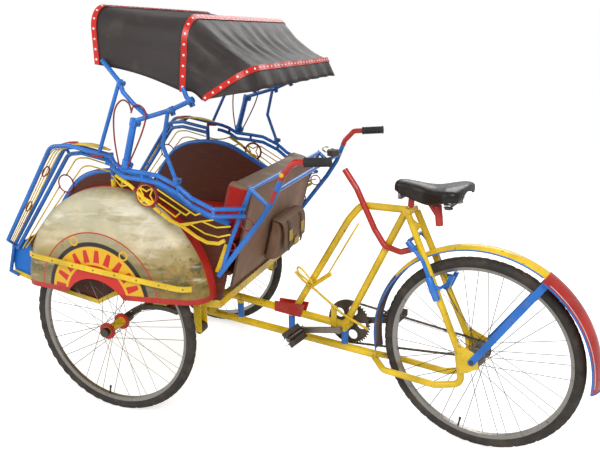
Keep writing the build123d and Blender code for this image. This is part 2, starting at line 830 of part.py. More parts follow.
def dome_line(inset):
    """Half of the dome's section: radius and depth, set in by the wall for its inside."""
    return FilletPolyline(
        (dome_radius - inset, 0),
        (dome_radius * dome_side_share - inset, dome_depth * dome_corner_share - inset),
        (0, dome_depth - inset),
        radius=dome_shoulder - inset,
    )


def mudguard():
    outer, inner = dome_line(0), dome_line(dome_wall)
    face = make_face([outer, Line(outer @ 1, inner @ 1), inner, Line(inner @ 0, outer @ 0)])
    shell = Rot(Y=-180) * revolve(face, Axis.Y, revolution_arc=180)
    arch_middle = (arch_x_share * dome_radius, 0, arch_rise - arch_radius)
    shell -= cylinder_along_y(arch_middle, arch_radius, 4 * dome_depth)
    middle = cab(dome_place_share[0], 0, dome_place_share[1])
    return Pos(middle.X, -panel_outer - seat_gap, middle.Z) * mirror(shell, about=Plane.XZ)


add_pair("mudguard", mudguard())

# Front guards: tubes that run from the foot of the cab up to the arm rest
guard_tube = 16.0
guard_rod = 6.0
guard_bend = 45.0
guard_strip_width = 66.0
guard_post = 18.0
guard_foot = 15.0
guard_cross = 12.0
guard_outer_shares = [(-0.468, 0.310), (-0.205, 0.698), (-0.120, 0.705), (0.035, 0.675)]
guard_inner_shares = [(-0.508, 0.258), (-0.195, 0.684), (-0.120, 0.690), (0.010, 0.664)]
guard_second_shares = [(-0.488, 0.252), (-0.180, 0.660), (-0.120, 0.667), (0.010, 0.642)]
guard_foot_shares = [(-0.505, 0.262), (-0.540, 0.150), (-0.500, 0.135)]
guard_post_shares = [(0.012, 0.572), (0.012, 0.674)]
# Short tubes across the strip: place on the inner tube, place on the outer tube
guard_cross_shares = [((-0.500, 0.268), (-0.468, 0.310)), ((-0.120, 0.690), (-0.120, 0.705))]
guard_link_shares = [
    [(-0.500, 0.268), (-0.484, 0.256)],
    [(-0.190, 0.684), (-0.176, 0.662)],
]
rod_shares = [
    [(-0.466, 0.254), (-0.150, 0.645), (-0.100, 0.648), (0.002, 0.624)],
    [(-0.448, 0.258), (-0.125, 0.615), (-0.090, 0.618), (0.002, 0.600)],
]
guard_ring_radius = 37.0
guard_ring_share = (-0.2115, 0.5425)

inner_guard_y = panel_outer + guard_tube / 2 + seat_gap
outer_guard_y = inner_guard_y + guard_strip_width
rod_y = panel_outer + guard_rod / 2 + seat_gap


def guard_rail():
    pieces = [
        bar(cab_line(guard_outer_shares, -outer_guard_y), guard_tube, bend=guard_bend),
        bar(cab_line(guard_inner_shares, -inner_guard_y), guard_tube, bend=guard_bend),
        bar(cab_line(guard_second_shares, -inner_guard_y), guard_tube, bend=guard_bend),
        bar(cab_line(guard_foot_shares, -inner_guard_y), guard_foot),
        bar(cab_line(guard_post_shares, -panel_outer - guard_post / 2 - seat_gap), guard_post),
    ]
    for inner, outer in guard_cross_shares:
        ends = cab_line([inner], -inner_guard_y) + cab_line([outer], -outer_guard_y)
        pieces.append(bar(ends, guard_cross, sides=8))
    for ends in guard_link_shares:
        pieces.append(bar(cab_line(ends, -inner_guard_y), guard_cross, sides=8))
    return joined(pieces)


def guard_rods():
    centre = cab_line([guard_ring_share], -rod_y)[0]
    lines = [cab_line(shares, -rod_y) for shares in rod_shares]
    rods = joined([bar(line, guard_rod, bend=guard_bend, sides=6) for line in lines])
    rods -= cylinder_along_y(centre, guard_ring_radius - guard_rod, 2 * guard_tube)
    return rods + ring(centre, guard_ring_radius, guard_rod)


add_pair("guard_rail", guard_rail())
add_pair("guard_rods", guard_rods())

# Push frame behind the seat, with two posts, cross bars, handles and bell
push_tube = 20.0
push_shares = [(0.432, 0.235), (0.612, 0.468), (0.655, 0.535), (0.685, 0.608)]
back_post_shares = [(0.450, 0.262), (0.490, 0.380), (0.572, 0.570), (0.640, 0.512)]
cross_bar_shares = [(0.672, 0.572), (0.572, 0.570)]
handle_tube = 22.0
grip_diameter = 30.0
# Handle and grip lines: along, up, out
handle_shares = [
    (0.68511, 0.60828, 0.8635), (0.694, 0.630, 0.8635), (0.735, 0.6732, 0.8669), (0.775, 0.676, 0.872),
]
grip_shares = [(0.7753, 0.676, 0.872), (0.861, 0.682, 0.883)]
bell_radius = 26.0
bell_height = 24.0
bell_y_share = 0.62

push_y = panel_outer + push_tube / 2 + seat_gap


def push_frame():
    pieces = []
    for y in (-push_y, push_y):
        pieces.append(bar(cab_line(push_shares, y), push_tube))
        pieces.append(bar(cab_line(back_post_shares, y), guard_tube))
    for share in cross_bar_shares:
        pieces.append(cylinder_along_y(cab_line([share], 0)[0], guard_tube / 2, 2 * push_y))
    return joined(pieces)


bell_place = cab(cross_bar_shares[0][0], bell_y_share, cross_bar_shares[0][1])
bell_lift = guard_tube / 2 + seat_gap + bell_height / 2
add("push_frame", push_frame())
add_pair("handle", bar([cab(x, -y, z) for x, z, y in handle_shares], handle_tube, bend=handle_tube))
add_pair("grip", bar([cab(x, -y, z) for x, z, y in grip_shares], grip_diameter))
add("bell", Pos(bell_place.X, bell_place.Y, bell_place.Z + bell_lift) * Cylinder(bell_radius, bell_height))

# Side rails: two wavy tubes from the guard back to the rear post
rail_y_share = 1.055
side_rail_shares = [
    (0.0353, 0.675), (0.060, 0.6702), (0.085, 0.655), (0.124, 0.632), (0.197, 0.626), (0.262, 0.618),
    (0.336, 0.585), (0.385, 0.547), (0.424, 0.530), (0.468, 0.512), (0.556, 0.503),
]
# Places of the short ties between the two tubes, as shares along
rail_tie_shares = (0.085, 0.197, 0.336, 0.468)
rail_drop_share = 0.026
rail_bend = 10.0

rail_y = rail_y_share * half_track


def side_rail():
    ends_y = [outer_guard_y] * 2 + [rail_y] * (len(side_rail_shares) - 3) + [push_y + guard_tube + seat_gap]
    upper = [cab(x, -y / half_track, z) for (x, z), y in zip(side_rail_shares, ends_y)]
    lower = [p - Vector(0, 0, rail_drop_share * cab_height) for p in upper]
    pieces = [bar(line, guard_tube, bend=rail_bend) for line in (upper, lower)]
    for (x, z), top, low in zip(side_rail_shares, upper, lower):
        if x in rail_tie_shares:
            pieces.append(bar([top, low], guard_cross, sides=8))
    return joined(pieces)


add_pair("side_rail", side_rail())

# Wings under the side rails: a ringed star, nested feathers and their stand
petal_radius_share = 0.045
petal_rod = 10.0
petal_share = (0.208, 0.545)
star_waist_share = 0.35
wing_rod = 6.0
wing_tube = 14.0
# Each line of the wing: rod size, then its places as shares along and up
wing_lines = [
    (wing_rod, [(0.246, 0.573), (0.398, 0.486), (0.418, 0.4945)]),
    (wing_rod, [(0.250, 0.546), (0.361, 0.483), (0.380, 0.497)]),
    (wing_rod, [(0.242, 0.524), (0.319, 0.474), (0.338, 0.490)]),
    (wing_tube, [(0.086, 0.6105), (0.145, 0.575), (0.221, 0.511), (0.295, 0.460)]),
    (
        wing_tube,
        [(0.295, 0.460), (0.343, 0.441), (0.400, 0.406), (0.439, 0.390), (0.482, 0.390), (0.505, 0.403)],
    ),
    (wing_rod, [(0.328, 0.447), (0.376, 0.451), (0.433, 0.422), (0.483, 0.414), (0.529, 0.427)]),
    (wing_rod, [(0.343, 0.441), (0.420, 0.466), (0.477, 0.448), (0.531, 0.456)]),
    (wing_rod, [(0.328, 0.447), (0.467, 0.4745)]),
]
petal_radius = petal_radius_share * cab_length


def wing():
    centre = cab_line([petal_share], -rail_y)[0]
    inner = petal_radius - petal_rod / 2
    pieces = [ring(centre, petal_radius, petal_rod)]
    for size, shares in wing_lines:
        pieces.append(bar(cab_line(shares, -rail_y), size, sides=6))
    for i in range(4):
        star = []
        for turn, share in ((45, 1.0), (90, star_waist_share), (135, 1.0)):
            a = radians(turn + 90 * i)
            star.append(centre + Vector(cos(a), 0, sin(a)) * inner * share)
        pieces.append(bar(star, wing_rod, sides=6))
    return joined(pieces)


add_pair("wing", wing())

# Hood stays: post, arms, prop and knee on each side
hood_post = 24.0
hood_arm = 16.0
hood_prop = 14.0
# Each line of the stay: rod size, then its places as shares along and up
stay_lines = [
    (hood_post, [(0.132, 0.648), (0.181, 0.806)]),
    (hood_arm, [(0.137, 0.938), (0.147, 0.904), (0.181, 0.868), (0.237, 0.822)]),
    (hood_arm, [(0.175, 0.804), (0.331, 0.848), (0.405, 0.879)]),
    (hood_arm, [(0.405, 0.879), (0.391, 0.891), (0.380, 0.921)]),
    (hood_prop, [(0.332, 0.601), (0.288, 0.725), (0.318, 0.846)]),
]
prop_shares = [(0.012, 0.6922), (0.135, 0.938)]
arm_tip_share = (0.065, 1.010)

# Hood bows: foot along and up, top along and up, half width at the foot,
# and how much the slope of the cloth lengthens the drop from it to the tube
bow_shares = [
    (0.043, 1.000, 0.043, 1.190, 1.0066, 1.03),
    (0.372, 0.912, 0.400, 1.145, 1.0361, 1.34),
    (0.440, 0.880, 0.612, 0.980, 1.0221, 1.16),
]
bow_tube = 14.0
cloth = 6.0
bow_rounding = 75.0


def hood_stay():
    pieces = [bar(cab_line(shares, -rail_y), size) for size, shares in stay_lines]
    prop = cab_line([prop_shares[0]], -outer_guard_y) + cab_line([prop_shares[1]], -rail_y)
    pieces.append(bar(prop, hood_prop))
    tip_y = bow_shares[0][4] * half_track + hood_arm / 2 + seat_gap
    tip = cab_line([stay_lines[1][1][0]], -rail_y) + cab_line([arm_tip_share], -tip_y)
    pieces.append(bar(tip, hood_arm))
    return joined(pieces)


def bow_plane(row):
    """The plane that a bow stands in, with its height from foot to top."""
    foot, top = cab(row[0], 0, row[1]), cab(row[2], 0, row[3])
    rise = top - foot
    return Plane(origin=foot, x_dir=(0, -1, 0), z_dir=Vector(0, -1, 0).cross(rise)), rise.length


def bow_points(row, inset):
    plane, rise = bow_plane(row)
    half, high = row[4] * half_track - inset, rise - inset
    corners = [(-half, 0), (-half, high), (half, high), (half, 0)]
    return [plane.from_local_coords(Vector(x, y, 0)) for x, y in corners]


def bow(row):
    inset = cloth + row[5] * bow_tube / 2 + seat_gap
    return bar(bow_points(row, inset), bow_tube, bend=bow_rounding - inset, sides=6)


def canopy_section(row):
    outer = FilletPolyline(*bow_points(row, 0), radius=bow_rounding)
    inner = FilletPolyline(*bow_points(row, cloth), radius=bow_rounding - cloth)
    return make_face([outer, Line(outer @ 1, inner @ 1), inner, Line(inner @ 0, outer @ 0)])


add_pair("hood_stay", hood_stay())
add("hood_bows", group([bow(row) for row in bow_shares]))
add("hood_canopy", loft([canopy_section(row) for row in bow_shares], ruled=True))

# Export
os.makedirs("parts", exist_ok=True)
box = group(nodes.values()).bounding_box()
origin = Vector(-(box.min.X + box.max.X) / 2, -(box.min.Y + box.max.Y) / 2, -box.min.Z)
for name, shape in nodes.items():
    export_step(Pos(*origin) * shape, f"parts/{name}.step")
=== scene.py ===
# %% [markdown]
# A cycle rickshaw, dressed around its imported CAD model.
# The CAD gives every rigid form its place. Blender adds what the eye looks for: enamel with chips,
# vinyl that sags between bows, knobbed tyres, studs, straps and a chain with links.
# Everything is in metres. X runs back from the cab to the rider's wheel, Y to the rider's right, Z up.

# %% Load the frame
import json
import math

import bmesh
import bpy
from mathutils import Matrix, Quaternion, Vector


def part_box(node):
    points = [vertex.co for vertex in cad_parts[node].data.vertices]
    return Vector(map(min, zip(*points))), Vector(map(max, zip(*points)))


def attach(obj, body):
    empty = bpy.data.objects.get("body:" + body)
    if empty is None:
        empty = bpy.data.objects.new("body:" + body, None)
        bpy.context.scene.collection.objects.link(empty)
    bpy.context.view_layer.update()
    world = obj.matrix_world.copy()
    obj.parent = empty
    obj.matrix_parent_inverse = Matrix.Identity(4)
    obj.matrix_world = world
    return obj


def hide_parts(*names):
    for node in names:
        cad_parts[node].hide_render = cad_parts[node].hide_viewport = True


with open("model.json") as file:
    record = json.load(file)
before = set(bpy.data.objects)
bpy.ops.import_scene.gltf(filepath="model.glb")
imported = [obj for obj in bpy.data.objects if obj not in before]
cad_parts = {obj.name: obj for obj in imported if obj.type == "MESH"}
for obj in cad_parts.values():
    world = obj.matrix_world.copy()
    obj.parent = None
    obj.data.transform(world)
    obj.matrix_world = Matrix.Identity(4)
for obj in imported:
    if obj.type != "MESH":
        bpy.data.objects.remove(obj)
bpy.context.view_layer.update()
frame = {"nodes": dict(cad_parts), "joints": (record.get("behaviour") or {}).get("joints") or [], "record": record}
nodes = frame["nodes"]
joints = {joint["name"]: joint for joint in frame["joints"]}
scene = bpy.context.scene

# %% [markdown]
# The camera comes first, because every later choice of detail is judged through it.
# Its place was solved from the wheels: three circles of one size fix the distance and the lens.

# %% Camera
camera_place = Vector((0.8719, -2.4205, 1.4315))
camera_aim = Vector((0.0111, 0.0, 0.6901))
camera_roll = -0.0138
camera_lens = 39.15

camera = bpy.data.objects.new("camera", bpy.data.cameras.new("camera"))
camera.data.lens = camera_lens
camera.location = camera_place
upright = (camera_aim - camera_place).to_track_quat("-Z", "Y")
camera.rotation_mode = "QUATERNION"
camera.rotation_quaternion = upright @ Quaternion((0, 0, 1), camera_roll)
scene.collection.objects.link(camera)
scene.camera = camera

# %% [markdown]
# A studio floor that curves up into nothing is simplest as one large plane in a white world.
# The plane is white only to the camera and to mirrors, so it doesn't throw extra light on the paint.

# %% Floor, world and lamps
floor_size = 14.0
floor_tone = (0.80, 0.80, 0.80, 1)
floor_lift = 0.60
world_strength = 0.62


def world_light():
    world = bpy.data.worlds.new("studio")
    scene.world = world
    world.use_nodes = True
    tree = world.node_tree
    tree.nodes.clear()
    output = tree.nodes.new("ShaderNodeOutputWorld")
    soft = tree.nodes.new("ShaderNodeBackground")
    soft.inputs["Strength"].default_value = world_strength
    white = tree.nodes.new("ShaderNodeBackground")
    white.inputs["Color"].default_value = (1, 1, 1, 1)
    path = tree.nodes.new("ShaderNodeLightPath")
    seen = tree.nodes.new("ShaderNodeMath")
    seen.operation = "MAXIMUM"
    mix = tree.nodes.new("ShaderNodeMixShader")
    tree.links.new(path.outputs["Is Camera Ray"], seen.inputs[0])
    tree.links.new(path.outputs["Is Transmission Ray"], seen.inputs[1])
    tree.links.new(seen.outputs[0], mix.inputs[0])
    tree.links.new(soft.outputs[0], mix.inputs[1])
    tree.links.new(white.outputs[0], mix.inputs[2])
    tree.links.new(mix.outputs[0], output.inputs[0])


def floor_plane():
    sheet = bmesh.new()
    bmesh.ops.create_grid(sheet, x_segments=1, y_segments=1, size=floor_size / 2)
    mesh = bpy.data.meshes.new("floor")
    sheet.to_mesh(mesh)
    sheet.free()
    floor = bpy.data.objects.new("floor", mesh)
    scene.collection.objects.link(floor)
    material = bpy.data.materials.new("floor")
    material.use_nodes = True
    tree = material.node_tree
    matt = tree.nodes["Principled BSDF"]
    matt.inputs["Base Color"].default_value = floor_tone
    matt.inputs["Roughness"].default_value = 0.9
    matt.inputs["Emission Color"].default_value = (1, 1, 1, 1)
    path = tree.nodes.new("ShaderNodeLightPath")
    lift = tree.nodes.new("ShaderNodeMath")
    lift.operation = "MULTIPLY"
    lift.inputs[1].default_value = floor_lift
    tree.links.new(path.outputs["Is Camera Ray"], lift.inputs[0])
    tree.links.new(lift.outputs[0], matt.inputs["Emission Strength"])
    mesh.materials.append(material)


# Lamps: name, place, size, power
lamps = [
    ("key", (1.6, -3.6, 3.6), 2.6, 125),
    ("fill", (-3.4, -2.2, 2.2), 2.8, 48),
    ("back", (0.6, 3.2, 3.4), 2.6, 70),
]


def lamp(name, place, size, power):
    light = bpy.data.lights.new(name, "AREA")
    light.size = size
    light.energy = power
    lamp_object = bpy.data.objects.new(name, light)
    lamp_object.location = place
    lamp_object.rotation_mode = "QUATERNION"
    lamp_object.rotation_quaternion = (camera_aim - Vector(place)).to_track_quat("-Z", "Y")
    scene.collection.objects.link(lamp_object)


world_light()
floor_plane()
for row in lamps:
    lamp(*row)
scene.view_settings.view_transform = "Standard"
print("stage: floor and", len(lamps), "lamps")

# %% [markdown]
# Materials are node graphs on Object coordinates. Every piece sits at the origin, so those are
# the vehicle's own metres, and a patch of wear has the same size on a tube as on a panel.
# A few small helpers keep each graph short: one adds a node, one wires a noise, one mixes two colours.

# %% Helpers for materials
finishes = {}


def darker(colour, share):
    return tuple(c * share for c in colour)


class Graph:
    """A material's node tree, with short calls for the nodes that the finishes share."""

    def __init__(self, name):
        self.material = bpy.data.materials.new(name)
        self.material.use_nodes = True
        self.tree = self.material.node_tree
        self.shader = self.tree.nodes["Principled BSDF"]
        self.place = self.tree.nodes.new("ShaderNodeTexCoord").outputs["Object"]
        finishes[name] = self.material

    def set(self, **values):
        for key, value in values.items():
            self.shader.inputs[key.replace("_", " ")].default_value = value

    def put(self, socket, value):
        """Wires or writes a value, whichever it is."""
        if isinstance(value, bpy.types.NodeSocket):
            self.tree.links.new(value, socket)
        elif isinstance(value, tuple) and len(value) == 3 and socket.type == "RGBA":
            socket.default_value = (*value, 1)
        else:
            socket.default_value = value

    def noise(self, scale, detail=4.0, rough=0.55, warp=0.0, place=None):
        node = self.tree.nodes.new("ShaderNodeTexNoise")
        self.put(node.inputs["Vector"], place or self.place)
        for key, value in (("Scale", scale), ("Detail", detail), ("Roughness", rough), ("Distortion", warp)):
            node.inputs[key].default_value = value
        return node.outputs["Fac"]

    def cells(self, scale, feature="DISTANCE_TO_EDGE", place=None):
        node = self.tree.nodes.new("ShaderNodeTexVoronoi")
        node.feature = feature
        node.inputs["Scale"].default_value = scale
        self.put(node.inputs["Vector"], place or self.place)
        return node.outputs["Distance"]

    def math(self, kind, a, b=0.0, c=None, clamp=False):
        node = self.tree.nodes.new("ShaderNodeMath")
        node.operation = kind
        node.use_clamp = clamp
        self.put(node.inputs[0], a)
        self.put(node.inputs[1], b)
        if c is not None:
            self.put(node.inputs[2], c)
        return node.outputs[0]

    def times(self, a, b):
        return self.math("MULTIPLY", a, b)

    def plus(self, a, b, clamp=False):
        return self.math("ADD", a, b, clamp=clamp)

    def minus(self, a, b):
        return self.math("SUBTRACT", a, b)

    def flip(self, share):
        return self.math("SUBTRACT", 1.0, share)

    def below(self, value, limit, soft=0.001):
        """1 below a limit and 0 above it."""
        return self.flip(self.step(value, limit - soft, limit + soft))

    def step(self, value, low, high):
        """0 below low, 1 above high, and smooth between them."""
        node = self.tree.nodes.new("ShaderNodeMapRange")
        node.interpolation_type = "SMOOTHSTEP"
        self.put(node.inputs["Value"], value)
        node.inputs["From Min"].default_value = low
        node.inputs["From Max"].default_value = high
        return node.outputs["Result"]

    def span(self, value, low, high):
        """Moves a value that runs from 0 to 1 into another range."""
        node = self.tree.nodes.new("ShaderNodeMapRange")
        self.put(node.inputs["Value"], value)
        node.inputs["To Min"].default_value = low
        node.inputs["To Max"].default_value = high
        return node.outputs["Result"]

    def patches(self, low, high, *noise):
        """A noise turned into soft-edged patches."""
        return self.step(self.noise(*noise), low, high)

    def mix(self, share, a, b):
        node = self.tree.nodes.new("ShaderNodeMix")
        node.data_type = "RGBA"
        self.put(node.inputs[0], share)
        self.put(node.inputs[6], a)
        self.put(node.inputs[7], b)
        return node.outputs[2]

    def axes(self, place=None):
        node = self.tree.nodes.new("ShaderNodeSeparateXYZ")
        self.put(node.inputs[0], place or self.place)
        return node.outputs[0], node.outputs[1], node.outputs[2]

    def moved(self, origin=(0, 0, 0), turn=0.0, stretch=(1, 1, 1)):
        """The place measured from an origin, turned about the upright axis, then stretched."""
        shift = self.tree.nodes.new("ShaderNodeVectorMath")
        shift.operation = "SUBTRACT"
        self.put(shift.inputs[0], self.place)
        shift.inputs[1].default_value = origin
        spin = self.tree.nodes.new("ShaderNodeMapping")
        spin.inputs["Rotation"].default_value = (0, 0, turn)
        spin.inputs["Scale"].default_value = stretch
        self.put(spin.inputs["Vector"], shift.outputs[0])
        return spin.outputs[0]

    def bump(self, height, strength, distance):
        node = self.tree.nodes.new("ShaderNodeBump")
        node.inputs["Strength"].default_value = strength
        node.inputs["Distance"].default_value = distance
        self.put(node.inputs["Height"], height)
        old = self.shader.inputs["Normal"]
        if old.links:
            self.tree.links.new(old.links[0].from_socket, node.inputs["Normal"])
        self.tree.links.new(node.outputs[0], old)

    def painted(self):
        """The colour that the graph has so far."""
        return self.shader.inputs["Base Color"].links[0].from_socket

    def colour(self, value):
        self.put(self.shader.inputs["Base Color"], value)

    def rough(self, value):
        self.put(self.shader.inputs["Roughness"], value)

    def sheen(self, low, high, *noise):
        """A roughness that drifts between two values."""
        self.rough(self.span(self.noise(*noise), low, high))


# %% [markdown]
# The tubes carry thick brush enamel: saturated, glossy, a little uneven, chipped to rust where hands
# and shoes rub, and dusty. One recipe serves every colour, so the paints look like one painter's work.

# %% Brush enamel
rust = (0.16, 0.07, 0.035)
dust = (0.42, 0.35, 0.26)
dust_share = 0.38
chip_start, chip_spread, chip_edge = 0.645, 0.05, 0.02


def enamel_layers(graph, colour, chips=0.5, grime=0.5):
    """Colour with tone drift, chips down to rust, and dust in the low places of a noise."""
    drift = graph.noise(6.0, 3.0)
    deep = darker(colour, 0.72)
    light = tuple(min(1.0, c * 1.12 + 0.01) for c in colour)
    tone = graph.mix(graph.step(drift, 0.32, 0.68), deep, light)
    dusty = graph.patches(0.52, 0.82, 17.0, 6.0, 0.62)
    soiled = graph.mix(graph.times(dusty, grime * dust_share), tone, dust)
    worn = graph.noise(52.0, 8.0, 0.66)
    patch = graph.patches(0.42, 0.62, 4.2, 2.0)
    bare = chip_start - chip_spread * chips
    limit = graph.times(graph.step(worn, bare, bare + chip_edge), patch)
    return graph.mix(limit, soiled, rust), limit


def enamel_sheen(graph, limit, low, high):
    """Gloss that goes where the paint is chipped, under a thin clear coat with brush marks."""
    sheen = graph.span(graph.noise(24.0, 4.0), low, high)
    graph.rough(graph.plus(sheen, graph.times(limit, 0.4), clamp=True))
    graph.set(Coat_Weight=0.25, Coat_Roughness=0.12)
    graph.bump(graph.noise(95.0, 3.0), 0.10, 0.001)


def enamel(name, colour, chips=0.5, grime=0.5, gloss=0.26):
    graph = Graph(name)
    painted, limit = enamel_layers(graph, colour, chips, grime)
    graph.colour(painted)
    enamel_sheen(graph, limit, gloss - 0.07, gloss + 0.16)
    graph.bump(graph.flip(limit), 0.35, 0.0006)
    return graph


blue_colour = (0.006, 0.150, 0.560)
yellow_colour = (0.820, 0.540, 0.006)
red_colour = (0.480, 0.014, 0.006)
enamel("blue_enamel", blue_colour, 0.8)
enamel("yellow_enamel", yellow_colour, 0.7)
enamel("red_enamel", red_colour, 0.7)
print("enamels:", ", ".join(finishes))

# %% [markdown]
# Bare metal comes in three states here: dull plated rims and spokes, dark oily running gear,
# and the brighter plate of small fittings. Rust freckles tie them together.

# %% Metals


def steel(name, colour, rough_low, rough_high, freckle=0.5):
    graph = Graph(name)
    spots = graph.patches(0.60 - 0.08 * freckle, 0.68 - 0.05 * freckle, 70.0, 8.0, 0.7)
    tone = graph.mix(graph.noise(11.0, 4.0), darker(colour, 0.78), colour)
    graph.colour(graph.mix(graph.times(spots, 0.8 * freckle), tone, rust))
    sheen = graph.span(graph.noise(30.0, 5.0), rough_low, rough_high)
    graph.rough(graph.plus(sheen, graph.times(spots, 0.3), clamp=True))
    graph.set(Metallic=0.9)
    graph.bump(graph.noise(160.0, 4.0), 0.12, 0.0005)
    return graph


steel("plated_steel", (0.40, 0.38, 0.35), 0.24, 0.46, 0.6)
steel("dark_steel", (0.13, 0.115, 0.10), 0.32, 0.55, 0.8)
steel("bright_plate", (0.74, 0.73, 0.70), 0.12, 0.30, 0.25)

# %% [markdown]
# Rubber and leather are told apart by their grain. The tyres are dusty and brown in patches,
# the grips are plain moulded rubber, and the saddle is old leather that has cracked and shines on top.

# %% Rubber and leather


def rubber(name, colour, dusty, grain):
    graph = Graph(name)
    drift = graph.patches(0.42, 0.72, 14.0, 6.0, 0.65)
    graph.colour(graph.mix(graph.times(drift, dusty), colour, (0.17, 0.125, 0.085)))
    graph.sheen(0.62, 0.86, 40.0, 4.0)
    graph.bump(graph.noise(grain, 5.0), 0.25, 0.0008)


def leather(name, colour, worn_colour, cracks, grain, gloss, depth=0.003):
    graph = Graph(name)
    wear = graph.patches(0.48, 0.74, 9.0, 6.0, 0.6)
    graph.colour(graph.mix(graph.times(wear, 0.55), colour, worn_colour))
    graph.sheen(gloss, gloss + 0.22, 26.0, 4.0)
    graph.set(Specular_IOR_Level=0.3)
    graph.bump(graph.math("MINIMUM", graph.cells(grain), 0.08), 0.5, depth)
    if cracks:
        graph.bump(graph.step(graph.cells(cracks), 0.0, 0.035), 0.5, 0.0012)
    return graph


rubber("tyre_rubber", (0.026, 0.022, 0.019), 0.28, 210.0)
rubber("grip_rubber", (0.022, 0.021, 0.021), 0.15, 300.0)
saddle_skin = leather("saddle_leather", (0.010, 0.008, 0.007), (0.050, 0.026, 0.016), 38.0, 420.0, 0.20)
saddle_skin.set(Coat_Weight=0.25)
red_vinyl = ((0.430, 0.010, 0.005), (0.54, 0.035, 0.020), 0, 520.0, 0.34)
leather("red_vinyl", *red_vinyl)
leather("brown_cloth", (0.262, 0.146, 0.090), (0.42, 0.29, 0.20), 30.0, 460.0, 0.48)
leather("strap_leather", (0.085, 0.050, 0.032), (0.20, 0.13, 0.085), 60.0, 600.0, 0.40)
hood_skin = leather("hood_vinyl", (0.036, 0.029, 0.027), (0.085, 0.068, 0.060), 0, 700.0, 0.40, depth=0.0008)
hood_skin.set(Coat_Weight=0.04, Coat_Roughness=0.4)

# %% [markdown]
# A few small finishes: glossy red webbing, white studs, brass-coloured buckles, a thin dark line, a pale
# line that is a painted highlight, and the back cushion's vinyl, which is wrapped in brown leather along its top.

# %% Small finishes


def plain_finish(name, colour, low, high, metallic=0.0, speck=0.25):
    graph = Graph(name)
    drift = graph.patches(0.35, 0.75, 33.0, 6.0, 0.6)
    graph.colour(graph.mix(graph.times(drift, speck), colour, darker(colour, 0.45)))
    graph.sheen(low, high, 60.0, 3.0)
    graph.set(Metallic=metallic)
    graph.bump(graph.noise(220.0, 4.0), 0.1, 0.0004)


plain_finish("red_webbing", (0.62, 0.018, 0.010), 0.22, 0.42)
plain_finish("white_stud", (0.86, 0.84, 0.80), 0.2, 0.4)
plain_finish("buckle_brass", (0.60, 0.43, 0.10), 0.3, 0.5, metallic=0.35, speck=0.5)
plain_finish("oxide_red_rod", (0.27, 0.020, 0.018), 0.3, 0.5, speck=0.5)
plain_finish("black_line", (0.014, 0.013, 0.012), 0.3, 0.5)
# This pale blue-grey is a painted highlight, drawn as a thin line near the rear flap's edges.
plain_finish("flap_highlight", (0.55, 0.62, 0.66), 0.3, 0.5, speck=0.5)
plain_finish("pale_thread", (0.34, 0.28, 0.20), 0.6, 0.8)
leather("bag_leather", (0.185, 0.098, 0.056), (0.31, 0.20, 0.13), 34.0, 500.0, 0.42)
steel("chain_steel", (0.15, 0.12, 0.095), 0.30, 0.5, 0.7)
steel("spring_steel", (0.34, 0.32, 0.29), 0.26, 0.44, 0.6)


def wrapped_vinyl(name, slope, wrap_height):
    """Red vinyl in front, with the brown leather of the sheet behind wrapped over the top."""
    graph = leather(name, *red_vinyl)
    x, _, z = graph.axes()
    front = graph.below(graph.plus(z, graph.times(x, slope)), wrap_height)
    wear = graph.patches(0.48, 0.74, 9.0, 6.0, 0.6)
    brown = graph.mix(wear, (0.22, 0.135, 0.082), (0.36, 0.27, 0.19))
    graph.colour(graph.mix(front, brown, graph.painted()))


wrapped_vinyl("back_vinyl", 0.20, 0.8915)
rubber("pedal_rubber", (0.055, 0.036, 0.026), 0.5, 260.0)
print("finishes:", len(finishes))

# %% [markdown]
# The cab's boards are thick plywood under maroon house paint, yellow in the footwell and blue at the
# front corner of each side panel. Long brush marks run along the board.

# %% Painted boards


def board_paint(name, colour):
    graph = Graph(name)
    along = graph.moved(stretch=(2.0, 30.0, 30.0))
    streak = graph.noise(7.0, 5.0, place=along)
    tone = graph.mix(graph.step(streak, 0.35, 0.7), darker(colour, 0.66), colour)
    scuff = graph.times(graph.patches(0.63, 0.70, 28.0, 8.0, 0.68), 0.5)
    graph.colour(graph.mix(scuff, tone, (0.30, 0.20, 0.12)))
    graph.rough(graph.span(streak, 0.34, 0.58))
    graph.set(Specular_IOR_Level=0.35)
    graph.bump(streak, 0.25, 0.001)
    return graph


board_maroon = (0.118, 0.027, 0.010)
board_paint("maroon_board", board_maroon)
board_paint("yellow_board", (0.720, 0.420, 0.020))


def panel_paint(name, slope, line_at):
    """Board paint whose front corner is blue, up to a slanting line."""
    graph = board_paint(name, board_maroon)
    x, _, z = graph.axes()
    corner = graph.plus(x, graph.times(z, slope))
    graph.colour(graph.mix(graph.below(corner, line_at), graph.painted(), blue_colour))


panel_paint("panel_board", 0.30, -0.844)

# %% [markdown]
# The mudguards are hand painted. A generic landscape stands in for the real picture: a pale sky with
# soft cloud, low hills, a line of trees and dry grass, all from noise and heights.
# The red border follows the dome's own circle. Over the wheel arch sits a painted half sun with
# red rays on yellow, ringed by a black and a thin red arc, each drawn by distance from one middle.

# %% Painted mudguards
dome_low, dome_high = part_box("mudguard_left")
dome_middle = Vector(((dome_low.x + dome_high.x) / 2, dome_high.y, dome_low.z))
dome_reach = (dome_high.x - dome_low.x) / 2
rim_band = 0.022
sun_middle = Vector((dome_middle.x - 0.032, 0.0, dome_middle.z - 0.012))
sun_rays = 22
sun_loops = [(-0.088, 0.219), (0.127, 0.182)]
loop_inner, loop_outer = 0.0125, 0.0185
disc_radius, ray_from, ray_to, fan_radius = 0.136, 0.146, 0.194, 0.2065
arc_radius, line_from, line_to = 0.2235, 0.2555, 0.2610
sun_yellow, sun_red, arc_black = (0.78, 0.44, 0.012), (0.60, 0.022, 0.010), (0.018, 0.015, 0.012)


def distance(graph, x, z):
    return graph.math("SQRT", graph.plus(graph.times(x, x), graph.times(z, z)))


